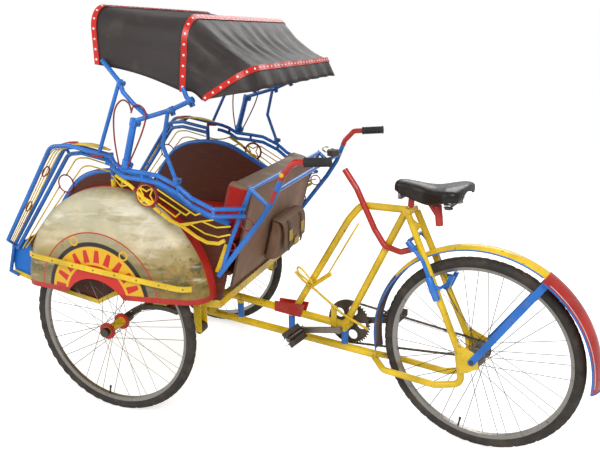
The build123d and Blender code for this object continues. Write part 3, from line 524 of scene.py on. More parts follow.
def between(graph, value, low, high, soft=0.0012):
    rise = graph.step(value, low - soft, low + soft)
    return graph.times(rise, graph.flip(graph.step(value, high - soft, high + soft)))


def countryside(graph, seed, z):
    """Sky, far hills, a field and a line of trees."""
    haze = graph.patches(0.36, 0.68, 5.0, 7.0, 0.6, 0.4)
    sky = graph.mix(haze, (0.50, 0.46, 0.30), (0.78, 0.66, 0.42))
    sky = graph.mix(graph.step(z, 0.06, 0.30), (0.58, 0.42, 0.16), sky)
    cloud = graph.patches(0.50, 0.66, 3.2 + seed, 6.0, 0.62, 0.8)
    sky = graph.mix(graph.times(cloud, 0.7), sky, (0.84, 0.78, 0.64))
    ridge = graph.span(graph.noise(2.6 + seed, 5.0), 0.06, 0.34)
    scenery = graph.mix(graph.step(graph.minus(ridge, z), -0.02, 0.02), sky, (0.46, 0.36, 0.15))
    ground = graph.step(graph.minus(graph.span(graph.noise(5.3 + seed, 6.0), 0.02, 0.26), z), -0.012, 0.012)
    grass = graph.patches(0.40, 0.62, 30.0, 6.0, 0.7)
    field = graph.mix(grass, (0.34, 0.20, 0.035), (0.19, 0.15, 0.035))
    scenery = graph.mix(ground, scenery, field)
    crown = graph.step(graph.plus(graph.noise(21.0, 7.0, 0.72), graph.times(z, -0.9)), 0.42, 0.47)
    crown = graph.times(crown, between(graph, z, 0.05, 0.27, 0.03))
    scenery = graph.mix(graph.times(crown, 0.75), scenery, (0.075, 0.085, 0.030))
    strokes = graph.noise(2.4, 6.0, 0.62, 0.5, graph.moved(stretch=(1.6, 3.0, 9.0)))
    stroke_share = graph.times(graph.step(strokes, 0.47, 0.62), 0.55)
    scenery = graph.mix(stroke_share, scenery, (0.34, 0.27, 0.11))
    light = graph.noise(3.1, 6.0, 0.6, 0.4, graph.moved(stretch=(1.4, 3.0, 8.0)))
    light_strokes = graph.times(graph.step(light, 0.55, 0.68), 0.5)
    scenery = graph.mix(light_strokes, scenery, (0.86, 0.80, 0.66))
    stain = graph.times(graph.patches(0.52, 0.74, 3.6, 7.0, 0.65), 0.45)
    return graph.mix(stain, scenery, (0.30, 0.22, 0.13))


def half_sun(graph, base):
    """A yellow fan with red rays, a red middle, a black arc and a thin red line round it."""
    x, _, z = graph.axes(graph.moved(origin=tuple(sun_middle)))
    reach = distance(graph, x, z)
    turn = graph.math("ARCTAN2", z, x)
    wave = graph.math("SINE", graph.times(turn, float(sun_rays)))
    taper = graph.times(graph.minus(reach, 0.166), 22.0)
    ray_ring = between(graph, reach, ray_from, ray_to)
    rays = graph.times(graph.step(graph.minus(wave, taper), -0.05, 0.05), ray_ring)
    fan = graph.mix(rays, sun_yellow, sun_red)
    fan = graph.mix(graph.below(reach, disc_radius), fan, sun_red)
    painted = graph.mix(graph.below(reach, fan_radius), base, fan)
    painted = graph.mix(between(graph, reach, fan_radius, arc_radius), painted, arc_black)
    painted = graph.mix(between(graph, reach, line_from, line_to), painted, (0.50, 0.03, 0.015))
    shade = graph.times(between(graph, reach, arc_radius, line_from, 0.004), 0.45)
    painted = graph.mix(shade, painted, (0.20, 0.17, 0.10))
    for along, up in sun_loops:
        gap = distance(graph, graph.minus(x, along), graph.minus(z, up))
        painted = graph.mix(between(graph, gap, loop_inner, loop_outer), painted, sun_yellow)
    return painted


def landscape(name, seed):
    graph = Graph(name)
    x, y, z = graph.axes(graph.moved(origin=(dome_middle.x, 0, dome_middle.z)))
    scenery = half_sun(graph, countryside(graph, seed, z))
    depth = graph.math("ABSOLUTE", y)
    wide = graph.plus(graph.times(graph.step(x, 0.05, 0.34), rim_band), abs(dome_middle.y) + rim_band)
    border = graph.below(graph.minus(depth, wide), 0.0)
    foot = graph.below(z, rim_band - 0.001)
    red = enamel_layers(graph, red_colour, 0.5, 0.3)[0]
    chips = graph.patches(0.665, 0.675, 60.0, 8.0, 0.7)
    worn = graph.mix(graph.times(chips, 0.6), scenery, rust)
    graph.colour(graph.mix(graph.math("MAXIMUM", border, foot), worn, red))
    graph.sheen(0.32, 0.58, 20.0, 4.0)
    graph.set(Coat_Weight=0.12, Coat_Roughness=0.2)
    graph.bump(graph.noise(80.0, 4.0), 0.08, 0.001)


landscape("painted_dome_left", 0.0)
landscape("painted_dome_right", 0.7)

# %% [markdown]
# Some CAD nodes are one solid but many colours on the real thing. Their material looks at the place:
# the hub by its distance from the axle, the rider's frame by where its blue struts stand.

# %% Finishes that change along a node
rear_joint = joints["rear_wheel_spin"]
steer_turn = math.atan2(rear_joint["axis"][0], rear_joint["axis"][1])
steering_place = Vector(joints["steering"]["pos_m"])
front_axle_x = joints["front_wheel_spin_left"]["pos_m"][0]
flange_from, spokes_from = 0.018, 0.0338


def rider_axes(graph):
    """The place measured from the kingpin, along and across the rider's frame."""
    return graph.axes(graph.moved(origin=(steering_place.x, steering_place.y, 0), turn=steer_turn))


def hub_finish(name, axle, turn, shell_colour, flange_colour):
    """Plated steel spokes, with the shell and its flanges painted."""
    graph = Graph(name)
    x, _, z = graph.axes(graph.moved(origin=tuple(axle), turn=turn))
    reach = distance(graph, x, z)
    shell = enamel_layers(graph, shell_colour, 1.0, 0.8)[0]
    flange = enamel_layers(graph, flange_colour, 1.0, 0.8)[0]
    painted = graph.mix(graph.below(reach, flange_from, 0.0002), flange, shell)
    spokes = graph.step(reach, spokes_from, spokes_from + 0.0008)
    steel_tone = graph.mix(graph.noise(24.0, 5.0), (0.032, 0.030, 0.027), (0.15, 0.14, 0.125))
    graph.colour(graph.mix(spokes, painted, steel_tone))
    graph.sheen(0.28, 0.5, 30.0, 4.0)
    graph.put(graph.shader.inputs["Metallic"], graph.times(spokes, 0.85))
    graph.bump(graph.noise(120.0, 3.0), 0.1, 0.0006)


for side in ("left", "right"):
    hub_finish(f"hub_{side}", joints[f"front_wheel_spin_{side}"]["pos_m"], 0.0, yellow_colour, red_colour)
hub_finish("hub_rear", rear_joint["pos_m"], steer_turn, (0.10, 0.09, 0.08), (0.16, 0.14, 0.12))


def frame_finish(name, struts, half_width):
    """Yellow enamel, with blue on each short strut between the two rails."""
    graph = Graph(name)
    x, _, z = rider_axes(graph)
    yellow, limit = enamel_layers(graph, yellow_colour, 0.8, 0.6)
    blue = enamel_layers(graph, blue_colour, 0.8, 0.5)[0]
    low_part = between(graph, z, 0.266, 0.331, 0.001)
    mask = 0.0
    for place in struts:
        gap = graph.math("ABSOLUTE", graph.minus(x, place))
        mask = graph.math("MAXIMUM", mask, graph.below(gap, half_width, 0.0005))
    graph.colour(graph.mix(graph.times(mask, low_part), yellow, blue))
    enamel_sheen(graph, limit, 0.2, 0.42)


wheelbase, kingpin_at = 1.391, 0.2
strut_places = [share * wheelbase - kingpin_at for share in (0.253, 0.442, 0.6204)]
frame_finish("frame_enamel", strut_places, 0.0175)


def ringed(name, place, radius, half_width):
    """Yellow enamel with the ring at one place painted dark red."""
    graph = enamel(name, yellow_colour, 0.7)
    x, _, z = graph.axes(graph.moved(origin=place))
    red = between(graph, distance(graph, x, z), radius - half_width, radius + half_width)
    graph.colour(graph.mix(red, graph.painted(), (0.25, 0.018, 0.016)))


ringed("wing_rods", (front_axle_x + 0.208, 0, 0.900), 0.045, 0.0072)
ringed("guard_rod_lines", (front_axle_x - 0.2115, 0, 0.8975), 0.037, 0.0055)


def near_pale_cranks(name, near_side, worn):
    """Dark steel, with the crank on the near side a lighter, greyer steel."""
    graph = steel(name, (0.13, 0.115, 0.10), 0.32, 0.55, 0.8)
    near = graph.below(rider_axes(graph)[1], near_side)
    pale_steel = graph.mix(graph.noise(26.0, 5.0), worn, darker(worn, 0.45))
    graph.colour(graph.mix(near, graph.painted(), pale_steel))


# The colour given here makes the near crank lighter and greyer than the far one.
near_pale_cranks("crank_steel", -0.029, (0.42, 0.37, 0.30))


def guard_paint(name, blue_top, rust_top, front_end):
    """Yellow enamel whose front end is old dark blue, rusting brown towards its tip."""
    graph = enamel(name, yellow_colour, 0.7)
    x, _, z = rider_axes(graph)
    height = graph.plus(z, graph.times(graph.noise(14.0, 5.0), 0.05))
    front = graph.below(x, front_end)
    blue = graph.times(front, graph.below(height, blue_top, 0.002))
    rusty = graph.below(height, rust_top, 0.025)
    tip = graph.mix(rusty, (0.022, 0.040, 0.13), (0.085, 0.045, 0.032))
    graph.colour(graph.mix(blue, graph.painted(), tip))


guard_paint("guard_enamel", 0.617, 0.525, 1.001)

# %% [markdown]
# Each CAD node now gets one finish, from one table. Left and right nodes share a row, so only the hubs
# and the painted mudguards, which differ from side to side, are named apart.

# %% Dress the CAD nodes
finish_nodes = {
    "dark_steel": "front_axle leaf_spring rear_axle pedal chain bell",
    "plated_steel": "front_rim rear_rim",
    "hub_rear": "rear_hub",
    "tyre_rubber": "front_tyre rear_tyre",
    "yellow_enamel": "underframe dropouts foot_brake",
    "frame_enamel": "main_frame",
    "red_enamel": "joint_plates seat_post brake_lever mudguard_flap handle",
    "crank_steel": "crankset",
    "saddle_leather": "saddle",
    "blue_enamel": "brake_yoke mudguard_stays guard_rail side_rail hood_stay hood_bows push_frame",
    "guard_enamel": "rear_mudguard",
    "panel_board": "side_panel",
    "yellow_board": "footwell",
    "maroon_board": "seat_box",
    "red_vinyl": "seat_cushion",
    "back_vinyl": "back_cushion",
    "brown_cloth": "backrest_sheet tool_bag",
    "guard_rod_lines": "guard_rods",
    "wing_rods": "wing",
    "hood_vinyl": "hood_canopy",
    "grip_rubber": "grip",
}
node_finish = {node: finish for finish, names in finish_nodes.items() for node in names.split()}


def dress(node_object, finish):
    node_object.data.materials.clear()
    node_object.data.materials.append(finishes[finish])


for name, node_object in nodes.items():
    side = name.rsplit("_", 1)[-1]
    base = name.removesuffix("_left").removesuffix("_right")
    if base == "front_hub":
        dress(node_object, f"hub_{side}")
    elif base == "mudguard":
        dress(node_object, f"painted_dome_{side}")
    else:
        dress(node_object, node_finish[base])
print("dressed", len(nodes), "CAD nodes")

# %% [markdown]
# New pieces come from a few short makers. A tube follows a line and is mitred at its corners,
# a skin joins rows of points, and a part turns a finished mesh into an object that rides a body.

# %% Makers
both_sides = (("left", -1), ("right", 1))
skyward, rightward = Vector((0, 0, 1)), Vector((0, 1, 0))
kingpin_back = steering_place.x - front_axle_x
rear_turn = Matrix.Translation((steering_place.x, steering_place.y, 0)) @ Matrix.Rotation(-steer_turn, 4, "Z")


def cab(x, y, z):
    """A place on the cab: behind the front axle, to the right, above the ground."""
    return Vector((front_axle_x + x, y, z))


def rear(x, y, z):
    """The same on the rider's frame before it is turned about the kingpin."""
    return rear_turn @ Vector((x - kingpin_back, y, z))


def part(name, work, finish, body="cab", crease=40.0):
    mesh = bpy.data.meshes.new(name)
    bmesh.ops.recalc_face_normals(work, faces=work.faces)
    work.to_mesh(mesh)
    work.free()
    mesh.materials.append(finishes[finish])
    mesh.shade_smooth()
    mesh.set_sharp_from_angle(angle=math.radians(crease))
    made = bpy.data.objects.new(name, mesh)
    scene.collection.objects.link(made)
    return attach(made, body)


def bevel(work, edges, size):
    bmesh.ops.bevel(work, geom=edges, offset=size, affect="EDGES", segments=2, profile=0.5, material=-1)


def standing(centre, along):
    """Moves a mesh from the origin to a place and turns its upright along a direction."""
    return Matrix.Translation(centre) @ along.to_track_quat("Z", "Y").to_matrix().to_4x4()


def thicken(piece, thickness, offset=0.0):
    """Gives an open skin the thickness of its sheet."""
    shell = piece.modifiers.new("thickness", "SOLIDIFY")
    shell.thickness = thickness
    shell.offset = offset


def around(count):
    """Even angles round a full turn."""
    return [math.tau * k / count for k in range(count)]


def block(work, centre, size, turn=None, round_by=0.0):
    """A box with softened edges, turned about its middle."""
    lump = bmesh.new()
    bmesh.ops.create_cube(lump, size=1.0)
    bmesh.ops.scale(lump, vec=size, verts=lump.verts)
    if round_by:
        bevel(lump, lump.edges[:], round_by)
    place = Matrix.Translation(centre) @ (turn.to_4x4() if turn else Matrix.Identity(4))
    lump.transform(place)
    merge(work, lump)


def merge(work, other):
    carrier = bpy.data.meshes.new("carrier")
    other.to_mesh(carrier)
    other.free()
    work.from_mesh(carrier)
    bpy.data.meshes.remove(carrier)


def soft_line(points, steps=6, closed=False):
    """Points along a smooth curve through the given ones."""
    points = [Vector(p) for p in points]
    count = len(points)
    line = []
    for i in range(count if closed else count - 1):
        spots = [(i + k) % count if closed else min(max(i + k, 0), count - 1) for k in (-1, 0, 1, 2)]
        a, b, c, d = (points[spot] for spot in spots)
        for j in range(steps):
            t = j / steps
            bend = (2 * a - 5 * b + 4 * c - d) * t**2 + (3 * b - a - 3 * c + d) * t**3
            line.append(0.5 * (2 * b + (c - a) * t + bend))
    return line if closed else line + [points[-1]]


def corner_runs(line, i, closed):
    """The directions of the runs that meet at one point of a line."""
    count = len(line)
    here = line[i]
    after = line[(i + 1) % count] - here if i < count - 1 or closed else here - line[i - 1]
    before = here - line[i - 1] if i or closed else after
    return before.normalized(), after.normalized()


def tube(work, line, radius, sides=8, closed=False, flat=1.0, guide=None):
    """A rod along a line. A ring is extruded run by run, and each of its vertices slides along the run
    until it meets the plane that halves the corner, so the rod is mitred and never twists."""
    line = [Vector(p) for p in line]
    before, after = corner_runs(line, 0, closed)
    side = guide or after.orthogonal()
    side = (side - after * side.dot(after)).normalized()
    face = Matrix((side, after.cross(side), after)).transposed().to_4x4()
    shape = Matrix.Translation(line[0]) @ face @ Matrix.Diagonal((1, flat, 1, 1))
    turned = Matrix.Rotation(math.pi / sides, 4, "Z")
    ring = bmesh.ops.create_circle(work, segments=sides, radius=radius, matrix=shape @ turned)["verts"]
    half = (before + after).normalized()
    for vertex in ring:
        vertex.co += after * ((line[0] - vertex.co).dot(half) / after.dot(half))
    first = edges = list({edge for vertex in ring for edge in vertex.link_edges})
    for i in range(1, len(line)):
        before, after = corner_runs(line, i, closed)
        half = (before + after).normalized()
        grown = bmesh.ops.extrude_edge_only(work, edges=edges)["geom"]
        edges = [item for item in grown if isinstance(item, bmesh.types.BMEdge)]
        for vertex in (item for item in grown if isinstance(item, bmesh.types.BMVert)):
            vertex.co += before * ((line[i] - vertex.co).dot(half) / max(0.3, before.dot(half)))
    if closed:
        bmesh.ops.bridge_loops(work, edges=edges + first)
    else:
        bmesh.ops.holes_fill(work, edges=edges + first, sides=sides)


def skin(work, rows, closed=False, capped=False):
    """A grid whose vertices are moved onto rows of points. Closed joins each row's end to its start."""
    rows = [list(row) + list(row[:1]) if closed else row for row in rows]
    across, up = len(rows[0]) - 1, len(rows) - 1
    grid = bmesh.ops.create_grid(work, x_segments=across, y_segments=up, size=0.5)["verts"]
    for vertex, place in zip(grid, [place for row in rows for place in row]):
        vertex.co = place
    if closed:
        bmesh.ops.remove_doubles(work, verts=grid, dist=0.000001)
    if capped:
        rims = [edge for edge in work.edges if edge.is_boundary]
        bmesh.ops.holes_fill(work, edges=rims, sides=len(rows[0]))


def ball(work, centre, radius, along=skyward, squash=1.0, detail=2):
    """A small dome or ball, flattened along one direction."""
    lump = bmesh.new()
    bmesh.ops.create_icosphere(lump, subdivisions=detail, radius=radius)
    bmesh.ops.scale(lump, vec=(1, 1, squash), verts=lump.verts)
    lump.transform(standing(centre, along))
    merge(work, lump)


def drum(work, centre, radius, height, along=skyward, sides=24, top=None, round_by=0.0):
    """A short cylinder or cone with its edges softened."""
    lump = bmesh.new()
    bmesh.ops.create_cone(
        lump, cap_ends=True, segments=sides, depth=height, radius1=radius,
        radius2=radius if top is None else top
    )
    if round_by:
        rims = [e for e in lump.edges if abs(e.verts[0].co.z - e.verts[1].co.z) < height / 10]
        bevel(lump, rims, round_by)
    lump.transform(standing(centre, along))
    merge(work, lump)


def band(work, line, outward, width, thickness):
    """A flat strap along a line. Outward gives, point by point, which way its face looks."""
    rows = []
    count = len(line)
    for i, (here, out) in enumerate(zip(line, outward)):
        along = (line[min(i + 1, count - 1)] - line[max(i - 1, 0)]).normalized()
        out = (out - along * out.dot(along)).normalized()
        across, rise = along.cross(out) * width / 2, out * thickness
        rows.append([here - across, here + across, here + across + rise, here - across + rise])
    skin(work, rows, closed=True, capped=True)

# %% [markdown]
# The hood is one sheet of dark vinyl over three bows, so it is drawn as one skin: a rounded section at
# each bow, and between the bows the sheet sinks, as cloth does that is held only there. Folds run from
# shoulder to shoulder in the steep rear bay. Behind the last bow the sheet hangs free as a short valance.

# %% Hood sheet
# Each bow: foot back and up, top back and up, half width
hood_bows = [
    (0.030, 1.350, 0.030, 1.546, 0.456),
    (0.372, 1.262, 0.400, 1.501, 0.4695),
    (0.440, 1.235, 0.613, 1.336, 0.464),
]
bay_sag = (0.016, 0.022)
hem_lift = 0.014
hood_rounding = 0.078
valance_drop = Vector((0.026, 0.0, -0.066))
cab_middle = cab(0.25, 0, 1.15)
across_steps, bay_steps, valance_steps = 84, 14, 5


def bow_point(row, share):
    """A place on a bow from one foot, at 0, round its two shoulders to the other, at 1."""
    foot_x, foot_z, top_x, top_z, half = row
    high = math.hypot(top_x - foot_x, top_z - foot_z)
    leg, turn, level = high - hood_rounding, hood_rounding * math.pi / 2, half - hood_rounding
    run = min(share, 1 - share) * 2 * (leg + turn + level)
    if run < leg:
        out, up = half, run
    elif run < leg + turn:
        a = (run - leg) / hood_rounding
        out, up = level + hood_rounding * math.cos(a), leg + hood_rounding * math.sin(a)
    else:
        out, up = level - (run - leg - turn), high
    side = -1 if share < 0.5 else 1
    return cab(foot_x + (top_x - foot_x) * up / high, side * out, foot_z + (top_z - foot_z) * up / high)


def hood_row(bay, t):
    """One row of the sheet across the hood, part of the way from one bow to the next."""
    one, two = hood_bows[bay], hood_bows[bay + 1]
    points = []
    for i in range(across_steps + 1):
        place = bow_point(one, i / across_steps).lerp(bow_point(two, i / across_steps), t)
        edge = 1 - min(1.0, min(i, across_steps - i) / 7)
        inward = (cab_middle - place).normalized()
        hold = math.sin(math.pi * t)
        fold = math.sin(i * 0.9 + t * 2.0 + bay) * 0.25 + math.sin(i * 2.1 - t * 3.0) * 0.12
        place += inward * bay_sag[bay] * hold * (1 - 0.6 * edge) * (1 + fold * (0.5 + 0.5 * bay))
        place.z += hem_lift * hold * edge
        points.append(place)
    return points


hood_rows = []
for bay in (0, 1):
    for step in range(bay_steps if bay == 0 else bay_steps + 1):
        hood_rows.append(hood_row(bay, step / bay_steps))
last_row = hood_rows[-1]
for step in range(1, valance_steps + 1):
    drop = step / valance_steps
    row = []
    for i, place in enumerate(last_row):
        edge = min(i, across_steps - i) / across_steps
        reach = min(1.0, edge / 0.16)
        ripple = math.sin(i * 0.75) * 0.006 * drop + math.sin(i * 1.9) * 0.002 * drop
        row.append(place + valance_drop * drop * reach + Vector((ripple * reach, 0, 0)))
    hood_rows.append(row)

hood_work = bmesh.new()
skin(hood_work, hood_rows)
hood_area = sum(face.calc_area() for face in hood_work.faces)
hood = part("hood_sheet", hood_work, "hood_vinyl", crease=70)
if hood.data.polygons[across_steps * 3 + across_steps // 2].normal.z < 0:
    hood.data.flip_normals()
thicken(hood, 0.002, -1.0)
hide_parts("hood_canopy")


# %% [markdown]
# Red webbing is stitched over the three bows and held with white dome studs. The same row of points
# that made the sheet carries the webbing, so it can't float. The studs are one mesh of small domes.

# %% Hood webbing and studs
webbing_width = 0.019
stud_radius = 0.0042
stud_pitch = 0.034
web_lift, stud_lift, front_shift = 0.0008, 0.0025, 0.009
web_work, stud_work = bmesh.new(), bmesh.new()
for index in (0, bay_steps, 2 * bay_steps):
    row = hood_rows[index]
    beyond = hood_rows[index + 1]
    faces_out = []
    for i, place in enumerate(row):
        along = (row[min(i + 1, across_steps)] - row[max(i - 1, 0)]).normalized()
        normal = along.cross(beyond[i] - place).normalized()
        faces_out.append(normal if normal.dot(place - cab_middle) > 0 else -normal)
    shift = Vector((front_shift if index == 0 else 0.0, 0, 0))
    raised = [p + n * web_lift + shift for p, n in zip(row, faces_out)]
    band(web_work, raised, faces_out, webbing_width, 0.0022)
    travelled, due = 0.0, stud_pitch / 2
    for a, b, n in zip(raised, raised[1:], faces_out):
        span = (b - a).length
        while span and due <= travelled + span:
            spot = a.lerp(b, (due - travelled) / span) + n * stud_lift
            ball(stud_work, spot, stud_radius, n, 0.55)
            due += stud_pitch
        travelled += span
webbing = part("hood_webbing", web_work, "red_webbing", crease=60)
studs = part("hood_studs", stud_work, "white_stud")

# %% [markdown]
# The two red cushions start as slabs in the CAD's places. A short cloth simulation blows each one up
# like a stuffed pad, with its travel capped, so the faces crown and the long edges pull in.

# %% Cushions
cushion_voxel = 0.009
cushion_pressure = 4.0
cushion_cap = 0.013
cushion_shrink = 0.010
simulated_frames = 20


def fresh_copy(node):
    """The node's solid as one closed mesh, with its loose triangles joined."""
    work = bmesh.new()
    work.from_mesh(nodes[node].data)
    bmesh.ops.remove_doubles(work, verts=work.verts, dist=1e-5)
    bmesh.ops.recalc_face_normals(work, faces=work.faces)
    return work


def blown_pad(name, node, finish):
    work = fresh_copy(node)
    work.normal_update()
    for vert in work.verts:
        vert.co -= vert.normal * cushion_shrink
    pad = part(name, work, finish, crease=180)
    bpy.context.view_layer.objects.active = pad
    remesh = pad.modifiers.new("voxels", "REMESH")
    remesh.mode = "VOXEL"
    remesh.voxel_size = cushion_voxel
    bpy.ops.object.modifier_apply(modifier="voxels")
    rest = [vert.co.copy() for vert in pad.data.vertices]
    cloth = pad.modifiers.new("cloth", "CLOTH")
    cloth.settings.use_pressure = True
    cloth.settings.uniform_pressure_force = cushion_pressure
    cloth.settings.effector_weights.gravity = 0
    cloth.point_cache.frame_start = 1
    cloth.point_cache.frame_end = simulated_frames
    for step in range(1, simulated_frames + 1):
        scene.frame_set(step)
    graph = bpy.context.evaluated_depsgraph_get()
    swollen = [vert.co.copy() for vert in pad.evaluated_get(graph).data.vertices]
    pad.modifiers.clear()
    scene.frame_set(1)
    return finish_pad(pad, rest, swollen)


def finish_pad(pad, rest, swollen):
    """Caps how far each point moved, then smooths once by subdivision."""
    for vert, before, after in zip(pad.data.vertices, rest, swollen):
        step = after - before
        if step.length > cushion_cap:
            step = step.normalized() * cushion_cap
        vert.co = before + step
    smooth = pad.modifiers.new("smooth", "SUBSURF")
    smooth.levels = 1
    smooth.render_levels = 1
    bpy.context.view_layer.objects.active = pad
    bpy.ops.object.modifier_apply(modifier="smooth")
    pad.data.shade_smooth()
    return pad


pads = {}
for node, finish in (("seat_cushion", "red_vinyl"), ("back_cushion", "back_vinyl")):
    pad = pads[node] = blown_pad(f"{node}_pad", node, finish)
    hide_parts(node)
    print(pad.name, len(pad.data.vertices), "points")

# %% [markdown]
# Welts: a thin vinyl cord sewn round the seat cushion above and below its side strip. Its line starts
# as the slab's outline, and each point then moves onto the nearest spot of the blown pad.

# %% Cushion welts
seat_low, seat_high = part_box("seat_cushion")
welt_radius = 0.0042
welt_sink = 0.001
welt_corner = 0.03


def rounded_loop(centre, across, along, half_across, half_along, corner, steps=6):
    """A closed loop of points round a rectangle with rounded corners."""
    line = []
    for k, (sx, sy) in enumerate(((1, 1), (-1, 1), (-1, -1), (1, -1))):
        for j in range(steps + 1):
            a = math.pi / 2 * (k + j / steps)
            x = sx * (half_across - corner) + corner * math.cos(a)
            y = sy * (half_along - corner) + corner * math.sin(a)
            line.append(centre + across * x + along * y)
    return line


welt_work = bmesh.new()
seat_middle = (seat_low + seat_high) / 2
half = (seat_high - seat_low) / 2
for z in (seat_high.z - 0.020, seat_low.z + 0.016):
    loop = rounded_loop(
        Vector((seat_middle.x, seat_middle.y, z)), Vector((1, 0, 0)), rightward,
        half.x - 0.004, half.y - 0.004, welt_corner
    )
    nearest = [pads["seat_cushion"].closest_point_on_mesh(point) for point in loop]
    loop = [spot - normal * welt_sink for _, spot, normal, _ in nearest]
    tube(welt_work, loop, welt_radius, sides=8, closed=True, guide=skyward)
welts = part("cushion_welts", welt_work, "red_vinyl")

# %% [markdown]
# The backrest's rear is a loose leather sheet over the frame, with the tool bag strapped to it.
# Both are drawn as skins: the sheet bellies between its edges, and the bag is a lofted pouch that
# sags at the bottom, with a flap, two straps and three buckles.

# %% Backrest sheet
sheet_low, sheet_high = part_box("backrest_sheet")
foot_back = 0.009
lean = Vector((sheet_high.x - sheet_low.x - foot_back, 0, sheet_high.z - sheet_low.z)).normalized()
outward = Vector((lean.z, 0, -lean.x))
sheet_foot = Vector((sheet_low.x + foot_back, 0, sheet_low.z))
sheet_rise = (sheet_high.z - sheet_low.z) / lean.z - 0.004
sheet_half = sheet_high.y
columns, levels = 56, 36
sheet_slack, crease_depth = 0.004, 0.0032


def sheet_point(across_share, up_share):
    """A place on the loose sheet: 0 to 1 across, 0 to 1 up."""
    y = (2 * across_share - 1) * sheet_half
    hold = math.sin(math.pi * across_share) * math.sin(math.pi * min(1.0, up_share * 1.05))
    crease = math.sin(across_share * 19 + up_share * 5) * 0.35
    crease += math.sin(across_share * 7 - up_share * 11) * 0.5
    edge = min(1.0, 12 * min(across_share, 1 - across_share)) * min(1.0, 12 * min(up_share, 1 - up_share))
    bulge = crease_depth * crease * edge - sheet_slack * hold
    return sheet_foot + lean * (sheet_rise * up_share) + outward * bulge + Vector((0, y, 0))


sheet_work = bmesh.new()
sheet_rows = [[sheet_point(i / columns, k / levels) for i in range(columns + 1)] for k in range(levels + 1)]
skin(sheet_work, sheet_rows)
back_sheet = part("backrest_leather", sheet_work, "brown_cloth", crease=70)
thicken(back_sheet, 0.004)
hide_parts("backrest_sheet")

# %% [markdown]
# A stitched binding runs round the sheet: a rolled edge, and a row of stitches just inside it.

# %% Sheet binding
binding_work, stitch_work = bmesh.new(), bmesh.new()
border = [sheet_point(i / 24, 0) for i in range(25)]
border += [sheet_point(1, k / 16) for k in range(1, 17)]
border += [sheet_point(1 - i / 24, 1) for i in range(1, 25)]
border += [sheet_point(0, 1 - k / 16) for k in range(1, 16)]
tube(binding_work, border, 0.0048, sides=8, closed=True, flat=0.75)
inset = 0.028
stitch_lift, stitch_radius = 0.0026, 0.0008
side_stitches, row_stitches = 60, 110


def stitch(start, end):
    """One stitch of thread, between two places on the sheet."""
    line = [sheet_point(*place) + outward * stitch_lift for place in (start, end)]
    tube(stitch_work, line, stitch_radius, sides=5)


for share in (inset, 1 - inset):
    for k in range(side_stitches):
        up = 0.02 + 0.96 * k / side_stitches
        stitch((share, up), (share, up + 0.009))
for up in (0.965, 0.10):
    for i in range(row_stitches):
        share = inset + (1 - 2 * inset) * i / row_stitches
        stitch((share, up), (share + 0.0045, up))
binding = part("sheet_binding", binding_work, "strap_leather")
stitches = part("sheet_stitches", stitch_work, "pale_thread")

# %% [markdown]
# The bag is a soft, boxy leather pouch. It is lofted from level rings, square in plan with rounded
# corners, so its slack and its sagging foot can be written into the rings themselves.

# %% Tool bag
bag_low, bag_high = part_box("tool_bag")
bag_middle_y = (bag_low.y + bag_high.y) / 2
bag_half = (bag_high.y - bag_low.y) / 2 - 0.002
bag_start = (bag_low.z + 0.018 - sheet_foot.z) / lean.z
bag_foot = Vector((0, bag_middle_y, 0)) + sheet_foot + lean * bag_start + outward * 0.004
bag_rise = (bag_high.z - bag_low.z) * 0.93
bag_depth, squareness, slack_depth, droop_depth = 0.072, 0.42, 0.0035, 0.007
# The pouch from foot to top: share up, depth share, half-width share
bag_levels = [
    (0.00, 0.10, 0.90), (0.01, 0.46, 0.95), (0.05, 0.78, 0.985), (0.16, 0.98, 1.0), (0.34, 1.00, 1.0),
    (0.56, 0.93, 0.99), (0.78, 0.82, 0.975), (0.93, 0.66, 0.965), (0.985, 0.42, 0.95), (1.00, 0.10, 0.92),
]


def bag_ring(up, depth, wide, points=56):
    """One level of the pouch: flat against the sheet, rounded at its outer corners, a little slack."""
    ring = []
    for a in around(points):
        x = math.copysign(abs(math.cos(a)) ** squareness, math.cos(a)) * bag_half * wide
        d = (math.copysign(abs(math.sin(a)) ** squareness, math.sin(a)) + 1) / 2 * bag_depth * depth
        slack = slack_depth * math.sin(x * 44 + up * 6) * math.sin(math.pi * up) * (d / bag_depth)
        droop = -droop_depth * (1 - (x / bag_half) ** 2) * (1 - up) * (d / bag_depth)
        ring.append(bag_foot + Vector((0, x, 0)) + lean * (bag_rise * up + droop) + outward * (d + slack))
    return ring


bag_work = bmesh.new()
skin(bag_work, [bag_ring(*row) for row in bag_levels], closed=True, capped=True)
bag = part("bag_pouch", bag_work, "bag_leather", crease=60)
smooth = bag.modifiers.new("smooth", "SUBSURF")
smooth.levels = smooth.render_levels = 2
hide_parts("tool_bag")

# %% [markdown]
# The flap hangs over the top and front of the pouch. Its edge carries a binding, and the straps with
# their brass buckles lie on it where the photograph shows them.

# %% Bag flap, straps and buckles
flap_line = [
    (0.99, 0.05), (1.015, 0.30), (1.00, 0.62), (0.93, 0.80),
    (0.78, 0.94), (0.60, 1.04), (0.46, 1.10), (0.40, 1.125),
]


def on_flap(across_share, step_share, lift=0.0):
    """A place on the flap: across the bag, and from its hinge over the top down the front."""
    run = step_share * (len(flap_line) - 1)
    i = min(int(run), len(flap_line) - 2)
    up, depth = (a + (b - a) * (run - i) for a, b in zip(flap_line[i], flap_line[i + 1]))
    x = (2 * across_share - 1) * bag_half
    curl = -0.004 * abs(2 * across_share - 1) ** 3 * step_share
    out = bag_depth * depth + 0.003 + curl + lift
    return bag_foot + Vector((0, x, 0)) + lean * (bag_rise * up) + outward * out


